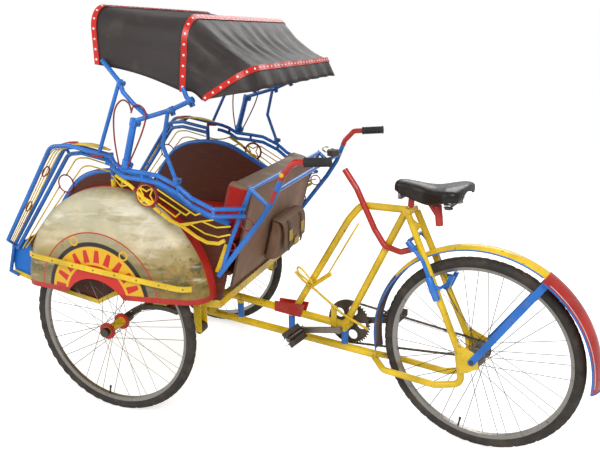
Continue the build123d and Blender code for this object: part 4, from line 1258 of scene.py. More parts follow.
flap_columns, flap_levels = 28, 20
flap_rows = []
for k in range(flap_levels + 1):
    flap_rows.append([on_flap(i / flap_columns, k / flap_levels) for i in range(flap_columns + 1)])
flap_work = bmesh.new()
skin(flap_work, flap_rows)
flap = part("bag_flap", flap_work, "bag_leather", crease=70)
thicken(flap, 0.0028)
edge_work = bmesh.new()
edge_line = [row[0] for row in flap_rows] + flap_rows[-1][1:] + [row[-1] for row in flap_rows[-2::-1]]
tube(edge_work, edge_line, 0.0024, sides=6)
strap_work, buckle_work = bmesh.new(), bmesh.new()
strap_places = (0.22, 0.78)
strap_from, strap_steps, strap_width, strap_thick, strap_end = 0.30, 12, 0.020, 0.0026, 0.020
for share in strap_places:
    steps = [strap_from + (1 - strap_from) * k / strap_steps for k in range(strap_steps + 1)]
    line = [on_flap(share, step, 0.0022) for step in steps]
    line.append(line[-1] - lean * strap_end + outward * 0.001)
    band(strap_work, line, [outward + lean * 0.4] * len(line), strap_width, strap_thick)
# Buckle plates: place across the bag, place down the flap, half width, half height
buckles = [(0.22, 0.66, 0.015, 0.020), (0.78, 0.66, 0.015, 0.020), (0.50, 0.95, 0.022, 0.014)]
plate_lift, plate_thickness, frame_rod, tongue_rod = 0.0075, 0.0034, 0.0022, 0.0016
for share, down, half_wide, half_high in buckles:
    upward = (on_flap(share, down - 0.06) - on_flap(share, down + 0.05)).normalized()
    facing = rightward.cross(upward)
    facing *= math.copysign(1.0, facing.dot(outward))
    middle = on_flap(share, down) + facing * plate_lift
    frame_line = [
        middle + Vector((0, x * half_wide, 0)) + upward * (z * half_high)
        for x, z in ((1, 1), (-1, 1), (-1, -1), (1, -1))
    ]
    face_turn = Matrix((rightward, upward, facing)).transposed()
    plate_size = (half_wide * 2, half_high * 2, plate_thickness)
    block(buckle_work, middle - facing * 0.0015, plate_size, face_turn, 0.0008)
    tube(buckle_work, frame_line, frame_rod, sides=8, closed=True, guide=facing)
    tube(buckle_work, [middle - upward * half_high, middle + upward * half_high * 0.7], tongue_rod, sides=6)
bag_trim = [
    part("bag_edging", edge_work, "strap_leather"),
    part("bag_straps", strap_work, "strap_leather"),
    part("bag_buckles", buckle_work, "buckle_brass"),
]
print("bag: pouch, flap,", len(strap_places), "straps and", len(buckles), "buckles")

# %% [markdown]
# The side panels carry a broad blue edging along their curved top, a half-round strip nailed over the
# board. It follows the panel's own outline, so its corners are rounded by a smooth line through them.

# %% Side panel edging
edging_radius = 0.0115
# Places on the panel's top edge, behind the axle and above the ground
edging_line = [
    (-0.272, 0.700), (-0.268, 0.758), (-0.245, 0.810), (-0.170, 0.900), (-0.090, 0.943), (0.020, 0.957),
    (0.100, 0.950), (0.170, 0.925), (0.345, 0.830), (0.478, 0.786),
]
for side_name, side in both_sides:
    low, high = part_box(f"side_panel_{side_name}")
    y = (low.y + high.y) / 2
    work = bmesh.new()
    line = soft_line([cab(x, y, z) for x, z in edging_line], 6)
    tube(work, line, edging_radius, sides=12, guide=rightward)
    part(f"panel_edging_{side_name}", work, "blue_enamel")

# %% [markdown]
# Yellow trim: a flat bar nailed across each mudguard and a strip along the footwell's edge. The bar
# follows the guard's own crown, and small screw heads sit along it.

# %% Yellow trim
# Where the guard's face starts to fall away, how far out its middle is, and how deep it falls
shoulder_share, dome_face, shoulder_fall = 0.78, abs(dome_low.y) + 0.0012, 0.075
bar_steps, screw_lift, screw_radius = 30, 0.0048, 0.0032
bar_width, bar_thick, strip_width, strip_thick, strip_gap = 0.021, 0.0045, 0.019, 0.004, 0.0035
bar_start, bar_end = (-0.318, 0.640), (0.372, 0.568)
footwell_edge = ((-0.522, 0.504), (-0.371, 0.461), (-0.116, 0.416), (-0.018, 0.470))


def dome_depth_at(share):
    """How far out the mudguard's face is, from the share of its radius."""
    fall = max(0.0, (share - shoulder_share) / (1 - shoulder_share))
    return dome_face - 0.0075 * share**2 - shoulder_fall * fall**2.2


for side_name, side in both_sides:
    work, screws = bmesh.new(), bmesh.new()
    out = rightward * side
    start, end = (cab(x, 0, z) for x, z in (bar_start, bar_end))
    line = []
    for k in range(bar_steps + 1):
        place = start.lerp(end, k / bar_steps)
        reach = math.hypot(place.x - dome_middle.x, place.z - dome_middle.z) / dome_reach
        line.append(Vector((place.x, side * dome_depth_at(reach), place.z)))
    band(work, line, [out] * len(line), bar_width, bar_thick)
    for k in range(1, bar_steps, 4):
        ball(screws, line[k] + out * screw_lift, screw_radius, out, 0.45, 2)
    panel_low, panel_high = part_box(f"side_panel_{side_name}")
    y = max(abs(panel_low.y), abs(panel_high.y)) * side
    line = [cab(x, y + side * strip_gap, z) for x, z in footwell_edge]
    band(work, line, [out] * len(line), strip_width, strip_thick)
    part(f"yellow_trim_{side_name}", work, "yellow_enamel")
    part(f"trim_screws_{side_name}", screws, "dark_steel")
print("edging and trim on both sides")

# %% [markdown]
# Between the two front tubes of each guard lie four flat yellow rods with small red rings,
# like the strings of a harp. They follow the tubes' own bends, at even places across the strip.

# %% Guard strips
# Two edges of the strip, behind the axle and above the ground
strip_inner = [(-0.506, 0.617), (-0.195, 1.039), (-0.120, 1.045)]
strip_outer = [(-0.466, 0.667), (-0.205, 1.053), (-0.120, 1.060)]
strip_rods = 4
strip_rod_radius = 0.0022
strip_out, strip_in = 0.454, 0.388
ring_places = [0.40, 0.76]
ring_half_wide, ring_half_high, ring_rod = 0.0155, 0.024, 0.0028


def strip_depth(share, side):
    """How far to the side a rod lies, from its share across the strip."""
    return side * (strip_in + (strip_out - strip_in) * share)


def strip_point(share, run, side):
    """A place on the strip: across it from the inner tube, and along it from its foot."""
    inner = Vector(strip_inner[0]).lerp(Vector(strip_inner[1]), run)
    outer = Vector(strip_outer[0]).lerp(Vector(strip_outer[1]), run)
    x, z = inner.lerp(outer, share)
    return cab(x, strip_depth(share, side), z)


for side_name, side in both_sides:
    rods, rings = bmesh.new(), bmesh.new()
    for k in range(strip_rods):
        share = (k + 1) / (strip_rods + 1)
        line = [strip_point(share, run, side) for run in (0.0, 0.5, 0.93)]
        knee_x, knee_z = Vector(strip_inner[2]).lerp(Vector(strip_outer[2]), share)
        y = strip_depth(share, side)
        line += [cab(-0.170, y, 1.042), cab(knee_x - 0.012, y, knee_z)]
        tube(rods, soft_line(line, 5), strip_rod_radius, sides=8, flat=0.7)
    for run in ring_places:
        middle = strip_point(0.5, run, side)
        across = (strip_point(1, run, side) - strip_point(0, run, side)).normalized()
        along = (strip_point(0.5, run + 0.05, side) - middle).normalized()
        across, along = across * ring_half_wide, along * ring_half_high
        loop = [middle + across * math.cos(a) + along * math.sin(a) for a in around(20)]
        tube(rings, loop, ring_rod, sides=6, closed=True)
    part(f"strip_rods_{side_name}", rods, "yellow_enamel")
    part(f"strip_rings_{side_name}", rings, "oxide_red_rod")

# %% [markdown]
# Arm rests: a leaf-shaped yellow plate on top of each guard, with a red tip and a small red pad.

# %% Arm rests
rest_width, rest_rise, tip_share, tip_rise = 0.050, 0.012, 0.62, 0.004
leaf_steps = 24


def leaf_plate(work, start, end, width, rise):
    """A pointed plate that is widest behind its middle and a little crowned."""
    rows = []
    along = end - start
    for k in range(leaf_steps + 1):
        t = k / leaf_steps
        half = width / 2 * math.sin(math.pi * min(1.0, t * 0.92 + 0.04)) ** 0.75
        middle = start + along * t + Vector((0, 0, rise * math.sin(math.pi * t)))
        rows.append([middle + Vector((0, y * half, -0.002 * y * y)) for y in (-1, -0.5, 0, 0.5, 1)])
    skin(work, rows)


for side_name, side in both_sides:
    y = side * (strip_in + strip_out) / 2
    for label, start, end, finish, slot, wide, rise in (
        ("plate", (-0.165, 1.058), (0.034, 1.046), "yellow_enamel", "yellow_paint", 1.0, rest_rise),
        ("tip", (-0.180, 1.0585), (-0.105, 1.0695), "red_enamel", "red_paint", tip_share, tip_rise),
    ):
        work = bmesh.new()
        start, end = (cab(x, y, z) for x, z in (start, end))
        leaf_plate(work, start, end, rest_width * wide, rise)
        plate = part(f"arm_rest_{label}_{side_name}", work, finish, crease=60)
        thicken(plate, 0.003)
    work = bmesh.new()
    block(work, cab(0.004, side * strip_out, 1.0275), (0.052, 0.022, 0.012), round_by=0.004)
    part(f"arm_pad_{side_name}", work, "oxide_red_rod")

# %% [markdown]
# Thin dark red wires bend into a heart beside each hood post. They are springy rod on the real thing,
# so each one is a smooth line through a few places rather than straight runs.

# %% Heart wires
heart_lines = [
    [(0.113, 1.003), (0.104, 1.090), (0.108, 1.170), (0.123, 1.212), (0.150, 1.233), (0.174, 1.222),
     (0.182, 1.196)],
    [(0.180, 1.190), (0.192, 1.212), (0.214, 1.217), (0.235, 1.200), (0.236, 1.170), (0.205, 1.100),
     (0.148, 1.003)],
]
rail_plane = abs(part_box("wing_left")[0].y) - 0.006
wire_lift, wire_radius = 0.012, 0.0029
for side_name, side in both_sides:
    work = bmesh.new()
    for line in heart_lines:
        y = side * (rail_plane + wire_lift)
        tube(work, soft_line([cab(x, y, z) for x, z in line], 6), wire_radius, sides=8)
    part(f"heart_wires_{side_name}", work, "oxide_red_rod")

# %% [markdown]
# Clamps hold the hood's posts and the rails' ties: short split sleeves with a bolt through two ears.

# %% Clamps
# Place behind the axle and above the ground, radius, length, direction along and up
clamps = [
    (0.135, 1.010, 0.0155, 0.030, (0.30, 1.0)), (0.331, 0.958, 0.0105, 0.024, (-0.15, 1.0)),
    (0.181, 1.157, 0.0150, 0.026, (0.30, 1.0)), (0.331, 1.203, 0.0110, 0.022, (1.0, 0.38)),
    (0.405, 1.234, 0.0115, 0.024, (1.0, 0.42)), (0.137, 1.290, 0.0105, 0.024, (0.15, 1.0)),
]
ear_long, ear_thick, ear_share, bolt_size, bolt_long = 0.010, 0.012, 0.7, 0.0042, 0.022
for side_name, side in both_sides:
    work, bolts = bmesh.new(), bmesh.new()
    y = side * rail_plane
    for x, z, radius, length, heading in clamps:
        along = Vector((heading[0], 0, heading[1])).normalized()
        middle = cab(x, y, z)
        drum(work, middle, radius, length, along, sides=20, round_by=0.0015)
        outside = Vector((along.z, 0, -along.x))
        ear = middle + outside * (radius + 0.004)
        turn = outside.to_track_quat("X", "Z").to_matrix()
        block(work, ear, (ear_long, ear_thick, length * ear_share), turn, 0.0015)
        drum(bolts, ear, bolt_size, bolt_long, rightward, sides=6)
    part(f"clamps_{side_name}", work, "blue_enamel")
    part(f"clamp_bolts_{side_name}", bolts, "dark_steel")

# %% [markdown]
# Push handles: a painted bolt through each bend, and ribs moulded on the rubber grips between two
# thicker ends. Each rib lies across the handle's own line.

# %% Push handle details
rib_count, rib_span, rib_radius, rib_thick, end_radius = 17, 0.068, 0.0158, 0.0022, 0.0172
for side_name, side in both_sides:
    grip_mount = next(m for m in frame["record"]["mounts"] if m["name"] == f"grip_{side_name}")
    middle = Vector(grip_mount["pos_m"])
    along = Vector(grip_mount["axis"]).normalized()
    ribs, bolt = bmesh.new(), bmesh.new()
    for k in range(rib_count):
        place = middle + along * (rib_span * (k / (rib_count - 1) - 0.5))
        drum(ribs, place, rib_radius, rib_thick, along, sides=28)
    drum(ribs, middle + along * 0.0445, end_radius, 0.006, along, sides=28, round_by=0.002)
    drum(ribs, middle - along * 0.0425, end_radius, 0.005, along, sides=28, round_by=0.002)
    part(f"grip_ribs_{side_name}", ribs, "grip_rubber")
    drum(bolt, cab(0.694, side * 0.4035, 0.984), 0.0085, 0.008, rightward, sides=6, round_by=0.001)
    part(f"handle_bolt_{side_name}", bolt, "yellow_enamel")
print("guards, arm rests, hearts, clamps and handles done")

# %% [markdown]
# Tyres: one round section with rows of knobs pressed out of it, turned round the wheel. The knobs on
# the shoulders stand square and the middle carries a ribbed line, so the edge of the tyre looks cut.
# A moulded rubber valve stem with a cap stands on each rim.

# %% Knobbed tyres
tyre_middle, tyre_high, tyre_half = 0.3374, 0.0176, 0.0198
bead_radius, bead_half, bead_from, bead_wide = 0.3205, 0.013, 0.62, 0.78
tyre_steps, tyre_sides = 312, 28
knob_depth = 0.0024
knob_rows, zigzag_rows = 3, 4
shoulder_low, shoulder_high = 0.50, 1.39
stem_angle, stem_low, stem_high = -1.75, 0.309, 0.279
stem_radius, cap_radius, cap_high = 0.0032, 0.0045, 0.010


def wheel_axes(joint):
    axis = Vector(joint["axis"]).normalized()
    return Vector(joint["pos_m"]), axis, axis.cross(skyward).normalized()


def wheel_place(joint, angle, radius):
    """A place on a wheel: round it and out from its axle."""
    middle, _, ahead = wheel_axes(joint)
    return middle + (ahead * math.cos(angle) + skyward * math.sin(angle)) * radius


def tyre_mesh(joint):
    """One round section, flattened at the bead, spun about the axle."""
    middle, axis, ahead = wheel_axes(joint)
    work = bmesh.new()
    section = bmesh.ops.create_circle(work, segments=tyre_sides, radius=1.0)["verts"]
    for vertex in section:
        inward = vertex.co.x < -bead_from
        radius = bead_radius if inward else tyre_middle + tyre_high * vertex.co.x
        offset = bead_half * vertex.co.y / bead_wide if inward else tyre_half * vertex.co.y
        vertex.co = middle + ahead * radius + axis * offset
    bmesh.ops.spin(
        work, geom=section + work.edges[:], cent=middle, axis=axis, angle=math.tau, steps=tyre_steps,
        use_merge=True
    )
    return work


def press_knobs(work, joint):
    """Grooves: every third row is pressed in on the shoulders, and a fine zigzag along the middle."""
    middle, axis, ahead = wheel_axes(joint)
    for vertex in work.verts:
        reach = vertex.co - middle
        offset = reach.dot(axis)
        reach -= axis * offset
        row = round(math.atan2(reach.z, reach.dot(ahead)) / math.tau * tyre_steps) % tyre_steps
        sweep = abs(math.atan2(offset / tyre_half, (reach.length - tyre_middle) / tyre_high))
        between_knobs = shoulder_low < sweep < shoulder_high and row // knob_rows % 2
        zigzag = sweep <= shoulder_low and (row + (offset > 0.002)) % zigzag_rows == 0
        if between_knobs or zigzag:
            inward = reach.normalized() * math.cos(sweep) + axis * math.copysign(math.sin(sweep), offset)
            vertex.co -= inward * knob_depth


# Wheel, body, joint, CAD tyre
wheels = [
    ("front_left", "front_wheel_left", "front_wheel_spin_left", "front_tyre_left"),
    ("front_right", "front_wheel_right", "front_wheel_spin_right", "front_tyre_right"),
    ("rear", "rear_wheel", "rear_wheel_spin", "rear_tyre"),
]
for wheel, body, joint_name, node in wheels:
    joint = joints[joint_name]
    work = tyre_mesh(joint)
    press_knobs(work, joint)
    tyre = part(f"knobbed_tyre_{wheel}", work, "tyre_rubber", body, crease=34)
    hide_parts(node)
    work = bmesh.new()
    low, high = (wheel_place(joint, stem_angle, r) for r in (stem_low, stem_high))
    along = (high - low).normalized()
    drum(work, (low + high) / 2, stem_radius, stem_low - stem_high, along, sides=12)
    drum(work, high, cap_radius, cap_high, along, sides=12, round_by=0.001)
    part(f"valve_stem_{wheel}", work, "grip_rubber", body)
print("tyres with", tyre_steps // (2 * knob_rows) * 2, "knobs a side")

# %% [markdown]
# The chain: side plates and rollers laid along the line round both chain wheels, at a pitch that
# closes the loop. Every second pair of plates lies outside its neighbours, as on a real chain.

# %% Chain
crank_place, hub_place = (0.8630, 0.342), (wheelbase, 0.355)
link_pitch, ring_teeth, sprocket_teeth = 0.0127, 44, 16
ring_radius = link_pitch / (2 * math.sin(math.pi / ring_teeth))
sprocket_radius = link_pitch / (2 * math.sin(math.pi / sprocket_teeth))
chain_plane = 0.038
plate_half_high, plate_thickness, outer_gap, inner_gap = 0.0042, 0.0010, 0.0036, 0.0024
roller_radius, roller_wide, pin_radius, pin_long = 0.0036, 0.0044, 0.0016, 0.0094
arc_steps = 360


def chain_line():
    """Points on the pitch line: the open belt round two circles."""
    (x1, z1), (x2, z2) = crank_place, hub_place
    lean = math.atan2(z2 - z1, x2 - x1)
    apart = math.hypot(x2 - x1, z2 - z1)
    open_by = math.acos((ring_radius - sprocket_radius) / apart)
    line = []
    for (x, z), radius, start, end in (
        ((x1, z1), ring_radius, lean + open_by, lean + math.tau - open_by),
        ((x2, z2), sprocket_radius, lean - open_by, lean + open_by),
    ):
        steps = int(arc_steps * (end - start) / math.tau)
        for k in range(steps + 1):
            a = start + (end - start) * k / steps
            line.append(Vector((x + radius * math.cos(a), z + radius * math.sin(a))))
    return line


def evenly(line, pitch):
    """The closed line cut again into an even number of equal steps."""
    lengths = [(b - a).length for a, b in zip(line, line[1:] + line[:1])]
    total = sum(lengths)
    count = 2 * round(total / pitch / 2)
    places, walked, i = [], 0.0, 0
    for k in range(count):
        target = total * k / count
        while walked + lengths[i] < target:
            walked += lengths[i]
            i += 1
        places.append(line[i].lerp(line[(i + 1) % len(line)], (target - walked) / max(lengths[i], 1e-9)))
    return places


def link_plate(work, a, b, y, half_high, thickness):
    """A side plate: a disc pulled apart to two round ends with a waist, then given thickness."""
    turned = Matrix.Rotation(math.pi / 14, 4, "Z")
    disc = bmesh.ops.create_circle(work, cap_ends=True, segments=14, radius=half_high, matrix=turned)["verts"]
    for vertex in disc:
        vertex.co.y *= 0.72 if abs(vertex.co.x) < 0.3 * half_high else 1.0
        vertex.co.x += math.copysign((b - a).length / 2, vertex.co.x)
    grown = bmesh.ops.extrude_face_region(work, geom=disc[0].link_faces[:])["geom"]
    top = [item for item in grown if isinstance(item, bmesh.types.BMVert)]
    bmesh.ops.translate(work, vec=(0, 0, thickness), verts=top)
    middle, along = (a + b) / 2, b - a
    place = Matrix.Translation((middle.x - kingpin_back, y + thickness / 2, middle.y))
    place @= Matrix.Rotation(-math.atan2(along.y, along.x), 4, "Y")
    place @= Matrix.Rotation(math.pi / 2, 4, "X")
    bmesh.ops.transform(work, matrix=rear_turn @ place, verts=disc + top)


across = (rear(0, 1, 0) - rear(0, 0, 0)).normalized()
pins = evenly(chain_line(), link_pitch)
work = bmesh.new()
for k, (a, b) in enumerate(zip(pins, pins[1:] + pins[:1])):
    gap = outer_gap if k % 2 else inner_gap
    for side in (-1, 1):
        link_plate(work, a, b, chain_plane + side * gap, plate_half_high, plate_thickness)
    drum(work, rear(a.x, chain_plane, a.y), roller_radius, roller_wide, across, sides=10)
    drum(work, rear(a.x, chain_plane, a.y), pin_radius, pin_long, across, sides=8)
chain = part("chain_links", work, "chain_steel", "rear_frame")
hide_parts("chain")
print("chain:", len(pins), "links")

# %% [markdown]
# The saddle is stretched black leather: a narrow nose, a broad seat, a dished back and a turned-down
# skirt. It is a skin over changing cross-sections, given thickness, above open coil springs.

# %% Saddle
saddle_front, saddle_run = 1.0655, 0.255
saddle_top = 0.9455
# Where the top turns down into the skirt, and how far it has sunk there
shoulder_at, shoulder_drop = 0.68, 0.008
# Along the saddle: place, half width, top rise, skirt depth
saddle_rows = [
    (0.000, 0.004, -0.016, 0.006), (0.012, 0.015, -0.008, 0.016), (0.045, 0.024, -0.002, 0.024),
    (0.12, 0.030, 0.000, 0.034), (0.30, 0.034, -0.004, 0.044), (0.46, 0.042, -0.008, 0.048),
    (0.60, 0.062, -0.008, 0.046), (0.72, 0.084, -0.003, 0.040), (0.83, 0.099, 0.002, 0.034),
    (0.92, 0.098, 0.003, 0.030), (0.97, 0.088, 0.000, 0.024), (0.993, 0.068, -0.006, 0.014),
    (1.0, 0.045, -0.012, 0.006),
]


def saddle_ring(share, half, rise, skirt):
    ring = []
    for k in range(-16, 17):
        s = abs(k) / 16
        if s <= shoulder_at:
            out, drop = 0.97 * (s / shoulder_at) ** 0.85, shoulder_drop * (s / shoulder_at) ** 2.4
        else:
            t = (s - shoulder_at) / (1 - shoulder_at)
            out, drop = 0.97 + 0.03 * math.sin(math.pi * min(1.0, 1.2 * t)), shoulder_drop + skirt * t
        y = math.copysign(out * half, k)
        ring.append(rear(saddle_front + saddle_run * share, y, saddle_top + rise - drop))
    return ring


def spread(rows, steps):
    """More rows between the given ones, along a smooth curve."""
    shares = [row[0] for row in rows]
    columns = []
    for column in zip(*rows):
        columns.append(soft_line([(share, value, 0) for share, value in zip(shares, column)], steps))
    return [tuple(c[i].y for c in columns) for i in range(len(columns[0]))]


work = bmesh.new()
skin(work, [saddle_ring(*row) for row in spread(saddle_rows, 4)])
saddle = part("saddle_leather_top", work, "saddle_leather", "rear_frame", crease=75)
thicken(saddle, 0.0045, -1.0)
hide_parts("saddle")
coil_steps, rivet_count, spring_wire, rail_rod = 14, 9, 0.0021, 0.0042
# Springs: place behind the axle, place across, low end, high end, coil radius, turns
springs = [
    (1.2746, -0.052, 0.878, 0.921, 0.0145, 5), (1.2746, 0.052, 0.878, 0.921, 0.0145, 5),
    (1.0850, -0.011, 0.884, 0.914, 0.0085, 5), (1.0850, 0.011, 0.884, 0.914, 0.0085, 5),
]
work = bmesh.new()
for x, y, low, high, radius, turns in springs:
    coil = []
    for k in range(coil_steps * turns + 1):
        a = math.tau * k / coil_steps
        up = low + (high - low) * k / (coil_steps * turns)
        coil.append(rear(x + radius * math.cos(a), y + radius * math.sin(a), up))
    tube(work, coil, spring_wire, sides=7)
    for z in (low - 0.001, high + 0.003):
        drum(work, rear(x, y, z), radius * 0.9, 0.003, sides=16)
rod_line = [
    (1.085, 0.884), (1.100, 0.9100), (1.1239, 0.9173), (1.1754, 0.9173), (1.225, 0.902), (1.2746, 0.886),
]
for y in (-0.009, 0.009):
    tube(work, soft_line([rear(x, y, z) for x, z in rod_line], 5), rail_rod, sides=10)
for x, half, z in ((1.2746, 0.052, 0.878), (1.085, 0.012, 0.884)):
    tube(work, [rear(x, -half, z), rear(x, half, z)], rail_rod, sides=10)
tube(work, [rear(1.2746, -0.078, 0.926), rear(1.2746, 0.078, 0.926)], 0.0048, sides=10)
block(work, rear(1.150, 0, 0.9165), (0.034, 0.034, 0.022), Matrix.Rotation(-steer_turn, 3, "Z"), 0.003)
part("saddle_springs", work, "spring_steel", "rear_frame")
work = bmesh.new()
for k in range(rivet_count):
    share = 2 * k / (rivet_count - 1) - 1
    x = saddle_front + saddle_run * (0.975 - 0.05 * share**2)
    z = saddle_top - 0.006 - 0.004 * abs(share)
    ball(work, rear(x, 0.078 * share, z), 0.0042, skyward, 0.45, 2)
part("saddle_rivets", work, "bright_plate", "rear_frame")
print("saddle: top,", len(springs), "springs and", rivet_count, "rivets")

# %% [markdown]
# Edges on the rear mudguard: a rolled bead along both edges of the guard and round its flap, and a
# pale line on the flap that is a painted highlight. The pedals get their teeth here too, as rows of small square
# points.

# %% Mudguard edges
guard_reach = 0.400
# The pale line's rod, drop, inset and gap below place a painted highlight on the flap.
bead_rod, highlight_rod, highlight_lower, highlight_inset, highlight_gap = 0.0028, 0.0016, 0.0136, 0.86, 3


def guard_place(angle, offset, lower):
    a = math.radians(angle)
    reach = guard_reach - lower
    return rear(hub_place[0] + reach * math.cos(a), offset, hub_place[1] + reach * math.sin(a))


# Piece, finish, slot, half width, drop of the edge, start and end of the arc
guard_edges = [
    ("mudguard_bead", "blue_enamel", "blue_paint", 0.0305, 0.0140, 59, 190.5),
    ("flap_bead", "blue_enamel", "blue_paint", 0.0555, 0.0198, -3.4, 57.4),
]
for name, finish, slot, half, drop, start, end in guard_edges:
    work = bmesh.new()
    for side in (-1, 1):
        line = [guard_place(start + (end - start) * k / 48, side * half, drop) for k in range(49)]
        tube(work, line, bead_rod, sides=8)
    if name == "flap_bead":
        line = [guard_place(start, half * k / 6, drop * (k / 6) ** 2) for k in range(-6, 7)]
        tube(work, line, bead_rod, sides=8)
        # A thin pale line a little inside each edge, a painted highlight
        lines = bmesh.new()
        for side in (-1, 1):
            line = []
            for k in range(41):
                angle = start + highlight_gap + (end - start - 2 * highlight_gap) * k / 40
                line.append(guard_place(angle, side * half * highlight_inset, highlight_lower))
            tube(lines, line, highlight_rod, sides=6)
        part("flap_highlight_lines", lines, "flap_highlight", "rear_frame")
    part(name, work, finish, "rear_frame")

# Pedals: a row of teeth on both long plates of the cage
pedal_turns = {"left": -45, "right": 0}
tooth_count, tooth_span, tooth_out, tooth_up = 8, 0.076, 0.0305, 0.0135
for side_name, turn_by in pedal_turns.items():
    low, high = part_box(f"pedal_{side_name}")
    joint = joints[f"pedal_spin_{side_name}"]
    axis = Vector(joint["axis"]).normalized()
    middle = (low + high) / 2
    turn = math.radians(turn_by)
    flat = rear(1, 0, 0) - rear(0, 0, 0)
    ahead = flat * math.cos(turn) - skyward * math.sin(turn)
    up = flat * math.sin(turn) + skyward * math.cos(turn)
    work = bmesh.new()
    for face in (-1, 1):
        for edge in (-1, 1):
            for k in range(tooth_count):
                spot = middle + axis * (tooth_span * (k / (tooth_count - 1) - 0.5))
                spot += ahead * face * tooth_out + up * edge * tooth_up
                drum(work, spot, 0.0032, 0.005, up * edge, sides=4, top=0.0006)
    part(f"pedal_teeth_{side_name}", work, "dark_steel", f"{side_name}_pedal")
print("mudguard beads and pedal teeth done")

# %% [markdown]
# Small rods and rings, each a line in one table: the thin rod beside the strut with its turnbuckle, the
# rolled loop of the foot brake, the brake rod, and the ornamental rings on the push tubes.

# %% Small rods and rings


def circle_line(x, y, z, radius, steps=28):
    """Places round a ring that stands in the plane of a side."""
    return [(x + radius * math.cos(a), y, z + radius * math.sin(a)) for a in around(steps)]


# Name, finish, slot, place maker, radius, closed, places
small_rods = [
    ("strut_rod", "yellow_enamel", "yellow_paint", rear, 0.0034, False,
     [(0.928, -0.021, 0.772), (0.796, -0.021, 0.545)]),
    ("brake_loop", "yellow_enamel", "yellow_paint", rear, 0.0042, True,
     soft_line([(0.662, -0.026, 0.549), (0.669, -0.026, 0.557), (0.690, -0.026, 0.546),
                (0.724, -0.026, 0.512), (0.728, -0.026, 0.500), (0.690, -0.026, 0.519),
                (0.668, -0.026, 0.534)], 4, closed=True)),
    ("brake_rod", "red_enamel", "red_paint", rear, 0.0026, False,
     soft_line([(1.248, -0.052, 0.588), (1.262, -0.052, 0.548), (1.292, -0.053, 0.478),
                (1.306, -0.056, 0.430)], 4)),
    ("brake_end", "dark_steel", "dark_steel", rear, 0.0018, False,
     [(1.278, -0.050, 0.600), (1.300, -0.048, 0.560), (1.325, -0.047, 0.520)]),
]
push_tube_y, rail_y = 0.3903, 0.4768
scrolls = (
    ("high", ((0.012, 0.395, 0.972), (0.044, 0.415, 0.963), (0.070, 0.445, 0.961), (0.088, rail_y, 0.967))),
    ("low", ((0.012, 0.395, 0.945), (0.048, 0.420, 0.930), (0.090, 0.455, 0.922), (0.131, rail_y, 0.932))),
)
for side_name, side in both_sides:
    y = push_tube_y * side
    for name, x, z, radius in (("high", 0.5545, 0.7960, 0.0225), ("low", 0.4900, 0.7080, 0.0150)):
        small_rods.append((
            f"push_ring_{name}_{side_name}", "oxide_red_rod", "red_paint", cab, 0.0026, True,
            circle_line(x, y, z, radius),
        ))
    for name, places in scrolls:
        small_rods.append((
            f"post_scroll_{name}_{side_name}", "yellow_enamel", "yellow_paint", cab, 0.0030, False,
            soft_line([(x, side * out, z) for x, out, z in places], 6),
        ))
    small_rods.append((
        f"push_curl_{side_name}", "oxide_red_rod", "red_paint", cab, 0.0022, False,
        soft_line([(0.482, y, 0.722), (0.486, y, 0.760), (0.510, y, 0.782), (0.534, y, 0.789)], 6),
    ))
for name, finish, slot, place, radius, closed, places in small_rods:
    work = bmesh.new()
    tube(work, [place(*p) for p in places], radius, sides=10, closed=closed)
    part(name, work, finish, "rear_frame" if place is rear else "cab")
print("rods and rings:", len(small_rods))

# %% [markdown]
# Small turned fittings, again one table: the turnbuckle, the collar bolt, the lug under the saddle,
# the sleeves of the brake yoke, the posts' second tube and foot, and the hub caps. A real maker would
# turn or saw each of these from bar, so each is one short drum between two places.

# %% Small fittings
# Name, finish, slot, place maker, radius at both ends, sides, start, end
fittings = [
    ("turnbuckle", "yellow_enamel", "yellow_paint", rear, 0.0062, 6,
     (0.798, -0.021, 0.548), (0.768, -0.0215, 0.516)),
    ("turnbuckle_rod", "yellow_enamel", "yellow_paint", rear, 0.0032, 8,
     (0.772, -0.0215, 0.520), (0.742, -0.022, 0.502)),
    ("collar_bolt", "yellow_enamel", "yellow_paint", rear, 0.0105, 16, (1.118, 0, 0.808), (1.146, 0, 0.788)),
    ("collar_nut", "yellow_enamel", "yellow_paint", rear, 0.0140, 6, (1.146, 0, 0.788), (1.156, 0, 0.781)),
    ("seat_lug", "red_enamel", "red_paint", rear, 0.0135, 10, (1.220, 0, 0.872), (1.229, 0, 0.800)),
    ("yoke_sleeve_low", "blue_enamel", "blue_paint", rear, 0.0135, 20,
     (1.221, -0.0665, 0.632), (1.2575, -0.0700, 0.5535)),
    ("yoke_sleeve_high", "blue_enamel", "blue_paint", rear, 0.0115, 20,
     (1.139, -0.064, 0.748), (1.166, -0.064, 0.719)),
]
for side_name, side in both_sides:
    fittings += [
        (f"guard_post_second_{side_name}", "yellow_enamel", "yellow_paint", cab, 0.0055, 16,
         (0.048, side * 0.3925, 0.888), (0.0597, side * 0.3960, 0.951)),
        (f"guard_post_foot_{side_name}", "yellow_enamel", "yellow_paint", cab, 0.0100, 16,
         (0.012, side * 0.3893, 0.892), (0.012, side * 0.3893, 0.930)),
        (f"hub_cap_{side_name}", "black_line", "dark_steel", cab, 0.0175, 20,
         (0.0, side * 0.5045, 0.355), (0.0, side * 0.5190, 0.355)),
    ]
edge_share = 0.15
for name, finish, slot, place, radius, sides, start, end in fittings:
    work = bmesh.new()
    start, end = place(*start), place(*end)
    run = end - start
    drum(work, start + run / 2, radius, run.length, run.normalized(), sides, round_by=radius * edge_share)
    part(name, work, finish, "rear_frame" if place is rear else "cab")

# %% [markdown]
# The bell's finger loop is polished wire, bent to a flat ring that leans off the bell.

